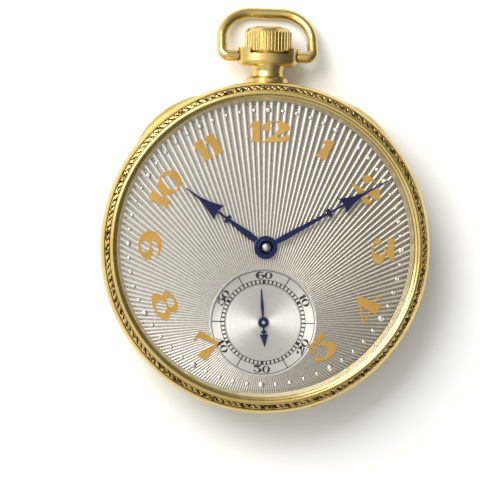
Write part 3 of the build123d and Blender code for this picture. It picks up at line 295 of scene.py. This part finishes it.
def blued_paint():
    """Polished steel, blued by heat: royal blue that drifts towards purple.

    Close to the hands' axis, in the sunk middle of the minute hand's boss, it is painted nearly black:
    painted shade in the well.
    """
    paint = metal("blued_steel", (0.014, 0.042, 0.125), (0.034, 0.026, 0.100), 0.18, 0.28, 260, 0.0)
    blue = paint.base()
    axes = paint.axes()
    squares = [paint.math("MULTIPLY", axes[axis], axes[axis]) for axis in "XY"]
    radius = paint.math("SQRT", paint.math("ADD", *squares), 0.0)
    # Painted shade: nearly black within the minute hand's sunk well round the axis.
    sunk = paint.remap(radius, 1.0, 0.0, 0.90 * MM, 0.97 * MM)
    paint.colour(paint.mix(sunk, blue, (0.004, 0.004, 0.012)))
    return paint.material


def steel_paint():
    return metal("bright_steel", (0.72, 0.72, 0.73), (0.58, 0.58, 0.60), 0.14, 0.26, 160, 0.0008).material


def spring_paint():
    return metal("spring_steel", (0.30, 0.33, 0.40), (0.20, 0.22, 0.28), 0.25, 0.38, 200, 0.0008).material


def gilt_paint():
    return metal("gilt_brass", (0.80, 0.58, 0.24), (0.66, 0.45, 0.16), 0.26, 0.40, 180, 0.0015).material


def nickel_paint():
    """Nickel with broad damaskeened stripes, whose grain changes side from stripe to stripe."""
    paint = Paint("nickel", Metallic=1.0)
    wave = paint.add("ShaderNodeTexWave", wave_type="BANDS", bands_direction="X", wave_profile="SAW")
    wave.inputs["Scale"].default_value = 62
    wave.inputs["Distortion"].default_value = 0.0
    paint.link(paint.place(turn=0.6), wave.inputs["Vector"])
    grain = paint.noise(2600, 3.0, (1, 0.04, 1), 0.6)
    tones = (0.0, (0.50, 0.50, 0.51)), (0.85, (0.78, 0.78, 0.785)), (1.0, (0.55, 0.55, 0.56))
    stripes = paint.ramp(wave.outputs["Fac"], *tones)
    brushed = paint.between(grain, (0.5, 0.5, 0.5), (0.85, 0.85, 0.85))
    paint.colour(paint.mix(0.35, stripes, brushed, "MULTIPLY"))
    paint.roughness(paint.remap(wave.outputs["Fac"], 0.22, 0.36, 0.0, 1.0))
    paint.bump(paint.math("ADD", wave.outputs["Fac"], paint.math("MULTIPLY", grain, 0.3)), 0.006, 0.5)
    return paint.material


def pearl_paint():
    paint = Paint("pearl", Metallic=0.9, Roughness=0.14, Coat_Weight=0.3)
    paint.colour(paint.between(paint.noise(3000, 3.0), (0.80, 0.78, 0.75), (0.92, 0.90, 0.87)))
    return paint.material


def print_paint():
    paint = Paint("black_print", Roughness=0.55)
    grain = paint.noise(4000, 3.0)
    paint.colour(paint.between(grain, (0.010, 0.010, 0.012), (0.028, 0.027, 0.030)))
    paint.bump(paint.noise(9000, 2.0), 0.002, 0.4)
    return paint.material


def ruby_paint():
    paint = Paint("ruby", Roughness=0.08, IOR=1.76, Coat_Weight=0.5)
    paint.colour(paint.between(paint.noise(1500, 3.0), (0.30, 0.004, 0.02), (0.62, 0.02, 0.06)))
    return paint.material


def felt_paint():
    paint = Paint("dark_seal", Roughness=0.9, Sheen_Weight=0.3)
    fibres = paint.noise(6000, 5.0)
    paint.colour(paint.between(fibres, (0.012, 0.011, 0.010), (0.05, 0.045, 0.04)))
    paint.bump(paint.noise(8000, 5.0), 0.02, 0.6)
    return paint.material


def crystal_paint():
    """Clear glass: what it reflects grows towards its edge, and the rest is seen through it."""
    paint = Paint("crystal_glass", Metallic=1.0, Roughness=0.02, Base_Color=(0.97, 0.985, 1.0, 1.0))
    layer = paint.add("ShaderNodeLayerWeight")
    layer.inputs["Blend"].default_value = 0.12
    smear = paint.noise(90, 2.0)
    share = paint.math("MULTIPLY", layer.outputs["Fresnel"], paint.remap(smear, 0.94, 1.0))
    paint.link(share, paint.shader.inputs["Alpha"])
    return paint.material


PAINTS = {
    "gold_case": gold_paint(),
    "gold_engraved": engraved_paint(),
    "crystal_glass": crystal_paint(),
    "silver_dial": ray_paint(),
    "gold_figures": figure_paint(),
    "pearl_dots": pearl_paint(),
    "black_print": print_paint(),
    "blued_steel": blued_paint(),
    "nickel_plate": nickel_paint(),
    "gilt_brass": gilt_paint(),
    "bright_steel": steel_paint(),
    "spring_steel": spring_paint(),
    "ruby": ruby_paint(),
    "dark_seal": felt_paint(),
}
# Three finishes for pieces made below, beside the paint of the slot they are in.
SILVER_RING = ring_paint()
SATIN_GOLD_WITH_REFLECTION = satin_reflection_paint()
SILVER_DISC = disc_paint()

slots = {part["node"]: part["material_slot"] for part in frame["record"]["subparts"]}
for name, node in nodes.items():
    node.data.materials.clear()
    node.data.materials.append(PAINTS[slots[name]])


# ---- mesh building ------------------------------------------------------------------------------------
def piece(name, points, faces, body, material, attributes=None, crease=35, centre=(0.0, 0.0)):
    """A new mesh piece from points in millimetres about its own centre, riding on a body."""
    mesh = bpy.data.meshes.new(name)
    mesh.from_pydata((np.asarray(points, float) * MM).tolist(), [], faces)
    for key, values in (attributes or {}).items():
        mesh.attributes.new(key, "FLOAT", "POINT").data.foreach_set("value", np.asarray(values, np.float32))
    mesh.polygons.foreach_set("use_smooth", [True] * len(mesh.polygons))
    mesh.set_sharp_from_angle(angle=math.radians(crease))
    mesh.materials.append(material)
    thing = bpy.data.objects.new(name, mesh)
    thing.location = (centre[0] * MM, centre[1] * MM, 0)
    bpy.context.scene.collection.objects.link(thing)
    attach(thing, body)
    return thing


def arc(start, middle, end, count):
    """Points on the circle through three points, without the first."""
    (ax, ay), (bx, by), (cx, cy) = start, middle, end
    d = 2 * (ax * (by - cy) + bx * (cy - ay) + cx * (ay - by))
    a, b, c = ax * ax + ay * ay, bx * bx + by * by, cx * cx + cy * cy
    ox = (a * (by - cy) + b * (cy - ay) + c * (ay - by)) / d
    oy = (a * (cx - bx) + b * (ax - cx) + c * (bx - ax)) / d
    radius = math.hypot(ax - ox, ay - oy)
    first, last = math.atan2(ay - oy, ax - ox), math.atan2(cy - oy, cx - ox)
    sweep = last - first
    through = math.atan2(by - oy, bx - ox) - first
    if (through % math.tau) > (sweep % math.tau):
        sweep = (sweep % math.tau) - math.tau
    else:
        sweep = sweep % math.tau
    angles = first + sweep * (np.arange(1, count + 1) / count)
    return [(ox + radius * math.cos(a), oy + radius * math.sin(a)) for a in angles]


def ring_faces(rows, columns, wrap_rows=False):
    """Quads of a grid whose columns close round, and its rows too if wrap_rows is true."""
    faces = []
    for i in range(rows if wrap_rows else rows - 1):
        here, there = i * columns, ((i + 1) % rows) * columns
        for j in range(columns):
            k = (j + 1) % columns
            faces.append((here + j, here + k, there + k, there + j))
    return faces


def turned_piece(name, profile, columns, body, material, centre=(0.0, 0.0)):
    """A closed ring with the given (radius, height) outline, turned about a vertical axis."""
    angles = np.arange(columns) / columns * math.tau
    radius = np.array([p[0] for p in profile])[:, None]
    height = np.array([p[1] for p in profile])[:, None]
    x, y = radius * np.cos(angles), radius * np.sin(angles)
    points = np.stack([x, y, np.broadcast_to(height, x.shape)], -1).reshape(-1, 3)
    faces = ring_faces(len(profile), columns, True)
    return piece(name, points, faces, body, material, centre=centre)


def smooth_step(value, low, high):
    share = np.clip((value - low) / (high - low), 0, 1)
    return share * share * (3 - 2 * share)


# ---- bezel --------------------------------------------------------------------------------------------
BAND_IN, BAND_OUT = 21.34, 21.93
BAND_IN_HEIGHT, BAND_OUT_HEIGHT = 8.6, 8.36
BAND_DEPTH = 0.12
BEZEL_COLUMNS = 360
WALL_ROWS = 3
BEADS = 320
BEADS_RADIUS, BEADS_HEIGHT = 21.085, 8.53
bead = arc((20.66, 8.42), (21.0, 8.95), (BAND_IN, BAND_IN_HEIGHT), 12)
rim = arc((BAND_OUT, BAND_OUT_HEIGHT), (22.33, 7.98), (CASE_RADIUS, 7.3), 8)
foot = arc((CASE_RADIUS, 7.3), (22.44, 6.5), (22.15, BEZEL_FOOT), 6)


def band_height(radius):
    """The height of the engraved band's uncut face at a radius."""
    share = (radius - BAND_IN) / (BAND_OUT - BAND_IN)
    straight = BAND_IN_HEIGHT + (BAND_OUT_HEIGHT - BAND_IN_HEIGHT) * share
    return straight + 0.09 * (1 - (2 * share - 1) ** 2)


bezel_outline = [
    (19.85, 6.92),
    (19.88, 7.05),
    (20.27, 7.93),
    (20.3, 8.0),
    (20.8, 8.0),
    (20.8, 8.34),
    (20.38, 8.4),
    *bead,
    (BAND_IN + 0.01, BAND_IN_HEIGHT - BAND_DEPTH - 0.05),
    (BAND_OUT - 0.01, BAND_OUT_HEIGHT - BAND_DEPTH - 0.05),
    *rim,
    *foot,
    (21.56, BEZEL_FOOT),
    (21.56, 6.9),
    (19.9, 6.9),
]
# The ring stays just inside the CAD model's own box.
bezel_reach = cad_box[1][0] / MM - 0.001
bezel_outline = [(min(radius, bezel_reach), height) for radius, height in bezel_outline]
bezel_ring = turned_piece(
    "bezel_ring", bezel_outline, BEZEL_COLUMNS, "bezel", PAINTS["gold_case"]
)
# The first rows of the outline are the inner wall, which is satin and painted paler as a reflection of the
# dial.
bezel_ring.data.materials.append(SATIN_GOLD_WITH_REFLECTION)
on_wall = [int(i < WALL_ROWS) for i in range(len(bezel_outline)) for _ in range(BEZEL_COLUMNS)]
bezel_ring.data.polygons.foreach_set("material_index", on_wall)


def leaf(x, y, centre_x, centre_y, angle, half_length, half_width):
    """How much a point lies within a pointed leaf, from 0 outside to 1 along its middle."""
    c, s = np.cos(np.radians(angle)), np.sin(np.radians(angle))
    along = ((x - centre_x) * c + (y - centre_y) * s) / half_length
    across = (-(x - centre_x) * s + (y - centre_y) * c) / half_width
    inside = np.clip(1 - along * along, 0, 1) - np.abs(across)
    return smooth_step(inside, 0.0, 0.5)


def wander(index, seed):
    """A number from -1 to 1 that looks random and depends only on a repeat of the band."""
    return np.sin(index * 12.9898 + seed * 78.233) * np.cos(index * 4.1414 + seed * 3.7)


def engraving(turns, y, pitch):
    """The depth of the cuts: turns counts repeats of the band, y runs across it from its middle."""
    cut = np.zeros_like(y)
    for near in (-1, 0, 1):
        repeat = np.floor(turns) + near
        u = (turns - repeat - 0.5) * pitch
        which = repeat % BAND_REPEATS
        lean, shift, size = wander(which, 1), wander(which, 2), wander(which, 3)
        slant = 36 + 14 * lean
        marks = [
            leaf(u, y, 0.06 * shift, 0.03 * lean, slant, 0.32 + 0.06 * size, 0.15 + 0.03 * shift),
            0.9 * leaf(u, y, 0.31 + 0.05 * size, 0.13, -24 + 20 * shift, 0.20, 0.075),
            0.9 * leaf(u, y, -0.31 + 0.05 * lean, -0.13, -30 + 20 * size, 0.20, 0.075),
        ]
        cut = np.maximum.reduce([cut, *marks])
    line = smooth_step(0.025 - np.abs(np.abs(y) - 0.265), 0.0, 0.02)
    return np.maximum(cut, 0.5 * line)


def make_band():
    """The engraved inlay: slanting cuts with small leaves beside them, between two fine lines."""
    per_repeat, across = 20, 16
    columns = BAND_REPEATS * per_repeat
    turns = np.arange(columns) / per_repeat
    angle = turns / BAND_REPEATS * math.tau
    radius = np.linspace(BAND_IN, BAND_OUT - 0.01, across)
    middle = (BAND_IN + BAND_OUT) / 2
    grid_turns, grid_y = np.meshgrid(turns, radius - middle)
    cut = engraving(grid_turns, grid_y, math.tau * middle / BAND_REPEATS)
    height = band_height(radius)[:, None] - BAND_DEPTH * cut
    spread_r = np.broadcast_to(radius[:, None], height.shape)
    points = [np.stack([spread_r * np.cos(angle), spread_r * np.sin(angle), height], -1).reshape(-1, 3)]
    depth = [cut.reshape(-1)]
    for r in (BAND_OUT - 0.01, BAND_IN):
        under = band_height(r) - BAND_DEPTH - 0.04
        points.append(np.stack([r * np.cos(angle), r * np.sin(angle), np.full(columns, under)], -1))
        depth.append(np.ones(columns))
    piece(
        "bezel_band",
        np.concatenate(points),
        ring_faces(across + 2, columns, True),
        "bezel",
        PAINTS["gold_engraved"],
        {"depth": np.concatenate(depth)},
        60,
    )


make_band()

DOME_SIDES = 8


def dome_points(radius, rise, rings):
    """A low dome with a flat base, as points and faces about the origin."""
    points = []
    for i in range(rings):
        turn = i / rings * math.pi / 2
        level, height = radius * math.cos(turn), rise * math.sin(turn)
        for j in range(DOME_SIDES):
            a = j / DOME_SIDES * math.tau
            points.append((level * math.cos(a), level * math.sin(a), height))
    points.append((0, 0, rise))
    faces = ring_faces(rings, DOME_SIDES)
    top = (rings - 1) * DOME_SIDES
    for j in range(DOME_SIDES):
        faces.append((top + j, top + (j + 1) % DOME_SIDES, len(points) - 1))
    faces.append(tuple(reversed(range(DOME_SIDES))))
    return np.array(points), faces


def domes(name, places, radius, rise, body, material, rings=3):
    """Many small domes in one piece, one at each place (x, y, z)."""
    base, base_faces = dome_points(radius, rise, rings)
    points, faces = [], []
    for number, place in enumerate(places):
        start = number * len(base)
        points.append(base + np.array(place))
        faces += [tuple(i + start for i in face) for face in base_faces]
    return piece(name, np.concatenate(points), faces, body, material)


def on_circle(radius, count, z):
    """Places spread evenly round a circle about the hands' axis."""
    turn = np.arange(count) / count * math.tau
    return [(radius * math.cos(a), radius * math.sin(a), z) for a in turn]


bead_places = on_circle(BEADS_RADIUS, BEADS, BEADS_HEIGHT)
domes("bezel_beads", bead_places, 0.10, 0.11, "bezel", PAINTS["gold_case"])

LIP_CLOCK = 160.8
LIP_HALF_LENGTH = 1.15
LIP_REACH = 0.34
LIP_ROOT_RADIUS = 22.0
LIP_LOW, LIP_HIGH = 5.98, 6.55
# How far from the case's edge, less the reach, and how high each corner of the nose is.
LIP_NOSE = [(-0.3, LIP_LOW), (-0.06, 6.1), (-0.06, 6.38), (-0.25, LIP_HIGH)]


def make_lip():
    """The lifting lip on the bezel's edge, rounded at its ends."""
    middle = math.radians(90 - LIP_CLOCK)
    points, across, corners = [], 24, len(LIP_NOSE) + 2
    for i in range(across + 1):
        u = -1 + 2 * i / across
        reach = LIP_REACH * math.sqrt(max(0.0, 1 - abs(u) ** 5)) + 0.001
        a = middle + u * LIP_HALF_LENGTH / CASE_RADIUS
        section = [(CASE_RADIUS + inset + reach, z) for inset, z in LIP_NOSE]
        section = [(LIP_ROOT_RADIUS, LIP_LOW), *section, (LIP_ROOT_RADIUS, LIP_HIGH)]
        points += [(r * math.cos(a), r * math.sin(a), z) for r, z in section]
    faces = ring_faces(across + 1, corners)
    faces.append(tuple(reversed(range(corners))))
    faces.append(tuple(range(across * corners, (across + 1) * corners)))
    piece("bezel_lip", points, faces, "bezel", PAINTS["gold_case"], crease=50)


make_lip()
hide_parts("bezel")


# ---- dial ---------------------------------------------------------------------------------------------
RAY_RISE = 0.0024
PER_RAY = 10
EDGE_RADIUS = DIAL_RADIUS - 0.05
WELL_RADIUS = SECONDS_RADIUS + 0.02
SECONDS_COLUMNS = 240
DISC_HOLE = 0.45
RAY_END_RADIUS = 19.5


def ray_profile(angle):
    """The height of the sunburst, from 0 in a groove to 1 on a ridge, by direction."""
    phase = (angle / math.tau * RAYS) % 1.0
    distance = np.abs(phase - 0.5) * 2
    return 1 - smooth_step(distance, 0.18, 0.62)


def make_dial():
    """The sunburst: ridges about the seconds dial's axis, out to the dial's edge.

    The columns that cross the hands' round hole stop at its near side and go on from its far side.
    """
    distance = -SECONDS_Y
    tangent = math.asin(CENTRE_HOLE / distance)
    regular = np.arange(RAYS * PER_RAY) / (RAYS * PER_RAY) * math.tau
    angle = np.unique(np.append(regular, [math.pi / 2 - tangent, math.pi / 2 + tangent]))
    offset = np.abs((angle - math.pi / 2 + math.pi) % math.tau - math.pi)
    crosses = offset <= tangent + 1e-9
    along = np.cos(offset) * distance
    aside = (np.sin(offset) * distance) ** 2
    edge = along + np.sqrt(EDGE_RADIUS**2 - aside)
    half_hole = np.sqrt(np.clip(CENTRE_HOLE**2 - aside, 0, None))
    touch = math.sqrt(distance**2 - CENTRE_HOLE**2)
    touch_edge = touch + math.sqrt(EDGE_RADIUS**2 - CENTRE_HOLE**2)
    beside = WELL_RADIUS + (edge - WELL_RADIUS) * (touch - WELL_RADIUS) / (touch_edge - WELL_RADIUS)
    near = np.where(crosses, along - half_hole, beside)
    far = np.where(crosses, along + half_hole, beside)
    inner_rows, outer_rows = 6, 20
    radii = [WELL_RADIUS + (near - WELL_RADIUS) * s for s in np.linspace(0, 1, inner_rows)]
    radii += [far + (edge - far) * s for s in np.linspace(0, 1, outer_rows)]
    top = len(radii)
    radii = np.array(radii + [radii[0], near, far, edge])
    ridge = np.broadcast_to(ray_profile(angle), radii.shape).copy()
    ridge[top:] = 0
    height = DIAL_TOP - 0.02 + RAY_RISE * radii * ridge
    height[top:] = DIAL_BOTTOM
    points = np.stack([radii * np.cos(angle), SECONDS_Y + radii * np.sin(angle), height], -1).reshape(-1, 3)

    columns = len(angle)
    index = np.arange(len(points)).reshape(-1, columns)
    open_here = crosses & (half_hole > 1e-6)
    for near_row in (inner_rows - 1, top + 1):
        index[near_row + 1] = np.where(open_here, index[near_row + 1], index[near_row])
    whole = [(i, i + 1) for i in range(top - 1) if i != inner_rows - 1]
    whole += [(top - 1, top + 3), (top + 3, top + 2), (top + 1, top), (top, 0)]
    at_hole = [(inner_rows - 1, top + 1), (top + 2, inner_rows)]
    faces = []
    for low, high in whole + at_hole:
        for j in range(columns):
            k = (j + 1) % columns
            if (low, high) in at_hole and not (crosses[j] and crosses[k]):
                continue
            corners = [index[low, j], index[low, k], index[high, k], index[high, j]]
            faces.append([c for n, c in enumerate(corners) if c != corners[n - 1]])
    used = np.unique(np.concatenate([np.array(face) for face in faces]))
    renumbered = np.zeros(len(points), int)
    renumbered[used] = np.arange(len(used))
    faces = [[int(renumbered[c]) for c in face] for face in faces]
    tone = {"ridge": ridge.reshape(-1)[used]}
    return piece("dial_rays", points[used], faces, "case", PAINTS["silver_dial"], tone, 50)


dial_rays = make_dial()

ring_outline = [
    (DISC_RADIUS, DISC_FLOOR - 0.05),
    (DISC_RADIUS, DISC_FLOOR),
    (DISC_RADIUS + 0.05, SECONDS_FLOOR - 0.002),
    (DISC_RADIUS + 0.12, SECONDS_FLOOR),
    (SECONDS_RADIUS - 0.14, SECONDS_FLOOR),
    (SECONDS_RADIUS - 0.05, SECONDS_FLOOR + 0.02),
    (SECONDS_RADIUS, DIAL_TOP + 0.012),
    (SECONDS_RADIUS + 0.03, DIAL_TOP + 0.02),
    (SECONDS_RADIUS + 0.09, DIAL_TOP + 0.005),
    (SECONDS_RADIUS + 0.09, DISC_FLOOR - 0.05),
]
disc_face = [(radius, DISC_FLOOR) for radius in np.linspace(DISC_HOLE, DISC_RADIUS - 0.02, 12)]
disc_under = [(DISC_RADIUS - 0.02, DISC_FLOOR - 0.12), (DISC_HOLE, DISC_FLOOR - 0.12)]
for name, outline, paint in (
    ("seconds_ring", ring_outline, SILVER_RING),
    ("seconds_disc", disc_face + disc_under, SILVER_DISC),
):
    turned_piece(name, outline, SECONDS_COLUMNS, "case", paint, (0.0, SECONDS_Y))
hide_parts("dial")


def ray_end_places(radius):
    """Where the sunburst's grooves cross a circle about the hands' axis."""
    places = []
    for i in range(RAYS):
        a = i / RAYS * math.tau
        along = -SECONDS_Y * math.sin(a)
        reach = along + math.sqrt(radius**2 - SECONDS_Y**2 + along**2)
        places.append((reach * math.cos(a), SECONDS_Y + reach * math.sin(a), DIAL_TOP - 0.02))
    return places


# Small black domes where the grooves meet the dial's edge: painted shade, dark dots standing in for the
# shadowed ends of the grooves under the bezel's wall.
ray_end_shade_dots = ray_end_places(RAY_END_RADIUS)
domes("ray_end_shade", ray_end_shade_dots, 0.085, 0.04, "case", PAINTS["black_print"], 2)


# ---- small pieces on the hands and the case -------------------------------------------------------------
# The cap sits on the cannon pinion's pipe and stands clear of the centre arbor's end inside it.
pin_outside = [(0.53, 8.0), (0.51, 8.06), (0.45, 8.13), (0.34, 8.18), (0.2, 8.215), (0.06, 8.22)]
pin_inside = [(0.06, 8.08), (0.38, 8.08), (0.4, 8.0)]
turned_piece("pin_cap", pin_outside + pin_inside, 32, "minute", PAINTS["bright_steel"])


RIB_RADIUS = 22.68
RIB_HEIGHT = 5.63


def rib_places(start, stop, count):
    """Places along the right shoulder's upper edge, by degrees clockwise from the top."""
    turn = [math.radians(90 - clock) for clock in np.linspace(start, stop, count)]
    return [(RIB_RADIUS * math.cos(a), RIB_RADIUS * math.sin(a), RIB_HEIGHT) for a in turn]


ribs = rib_places(29, 47, 16)
domes("shoulder_ribs", ribs, 0.17, 0.15, "case", PAINTS["gold_case"])


# ---- edges of the flat pieces -------------------------------------------------------------------------
def soften(name, width_mm):
    """Rounds a CAD node's sharp edges so that they catch the light."""
    node = nodes[name]
    weld = node.modifiers.new("weld", "WELD")
    weld.merge_threshold = 1e-6
    bevel = node.modifiers.new("edges", "BEVEL")
    bevel.width = width_mm * MM
    bevel.segments = 2
    bevel.limit_method = "ANGLE"
    bevel.angle_limit = math.radians(40)


for name in ("hour_hand", "minute_hand", "seconds_hand", "hour_numerals"):
    soften(name, 0.035)


# ---- floor, light and camera --------------------------------------------------------------------------
FLOOR_HALF = 1.6
CAMERA_DISTANCE = 0.5
CAMERA_LEAN, CAMERA_ROLL = 6.5, 1.5
VIEW_WIDTH = 65.253
VIEW_ASIDE, VIEW_ABOVE = 3.412, 1.006


def floor_paint():
    paint = Paint("floor", Roughness=0.8)
    paint.colour(paint.between(paint.noise(30, 4.0), (0.95, 0.95, 0.945), (0.97, 0.97, 0.965)))
    return paint.material


def make_floor():
    mesh = bpy.data.meshes.new("floor")
    corners = [(x * FLOOR_HALF, y * FLOOR_HALF, 0) for x, y in ((-1, -1), (1, -1), (1, 1), (-1, 1))]
    mesh.from_pydata(corners, [], [(0, 1, 2, 3)])
    mesh.materials.append(floor_paint())
    floor = bpy.data.objects.new("floor", mesh)
    floor.location.z = -0.02 * MM
    bpy.context.scene.collection.objects.link(floor)


def softbox(name, place, aim, size, power, colour):
    light = bpy.data.lights.new(name, "AREA")
    light.size = size
    light.energy = power
    light.color = colour
    lamp = bpy.data.objects.new(name, light)
    lamp.location = place
    lamp.rotation_euler = (Vector(aim) - Vector(place)).to_track_quat("-Z", "Y").to_euler()
    bpy.context.scene.collection.objects.link(lamp)


def make_world():
    """A room that is bright on the left and dim on the right, and falls to half towards Y and -Y."""
    world = bpy.data.worlds.new("room")
    bpy.context.scene.world = world
    world.use_nodes = True
    tree = world.node_tree
    coordinate = tree.nodes.new("ShaderNodeTexCoord")
    split = tree.nodes.new("ShaderNodeSeparateXYZ")
    ramp = tree.nodes.new("ShaderNodeValToRGB")
    spread = tree.nodes.new("ShaderNodeMapRange")
    spread.inputs["From Min"].default_value = -1
    spread.inputs["From Max"].default_value = 1
    elements = ramp.color_ramp.elements
    elements[0].position, elements[0].color = 0.0, (1.0, 0.985, 0.95, 1)
    elements[1].position, elements[1].color = 1.0, (0.13, 0.125, 0.12, 1)
    for level, grey in ((0.3, 0.98), (0.46, 0.94), (0.55, 0.84), (0.66, 0.42), (0.8, 0.2)):
        element = elements.new(level)
        element.color = (grey, grey * 0.99, grey * 0.97, 1)
    tree.links.new(coordinate.outputs["Generated"], split.inputs[0])
    tree.links.new(split.outputs["X"], spread.inputs["Value"])
    tree.links.new(spread.outputs["Result"], ramp.inputs["Fac"])
    tree.links.new(ramp.outputs["Color"], tree.nodes["Background"].inputs["Color"])
    square = tree.nodes.new("ShaderNodeMath")
    square.operation = "MULTIPLY"
    fade = tree.nodes.new("ShaderNodeMath")
    fade.operation = "MULTIPLY_ADD"
    fade.inputs[1].default_value = -0.5
    fade.inputs[2].default_value = 1.0
    for socket in square.inputs[:2]:
        tree.links.new(split.outputs["Y"], socket)
    tree.links.new(square.outputs[0], fade.inputs[0])
    tree.links.new(fade.outputs[0], tree.nodes["Background"].inputs["Strength"])


def make_camera():
    """Looks down at the dial from a little to its left, and shows the watch leaning to the right."""
    lean, roll = math.radians(CAMERA_LEAN), math.radians(CAMERA_ROLL)
    back = Vector((-math.sin(lean), 0, math.cos(lean)))
    level = Vector((math.cos(lean), 0, math.sin(lean)))
    up = Vector((0, 1, 0)) * math.cos(roll) - level * math.sin(roll)
    right = up.cross(back)
    data = bpy.data.cameras.new("camera")
    data.sensor_width = 36
    data.lens = data.sensor_width * CAMERA_DISTANCE / (VIEW_WIDTH * MM)
    data.clip_start = 0.01
    camera = bpy.data.objects.new("camera", data)
    target = Vector((0, 0, DIAL_TOP * MM))
    shift = up * VIEW_ABOVE * MM - right * VIEW_ASIDE * MM
    camera.location = target + back * CAMERA_DISTANCE + shift
    camera.rotation_mode = "QUATERNION"
    turn = np.array([right, up, back]).T
    camera.rotation_quaternion = Matrix(turn.tolist()).to_quaternion()
    bpy.context.scene.collection.objects.link(camera)
    bpy.context.scene.camera = camera


make_floor()
make_world()
softbox("key", (-0.21, 0.22, 0.29), (0, 0, 0), 0.30, 2.1, (1.0, 0.985, 0.95))
make_camera()
bpy.context.scene.view_settings.view_transform = "Standard"
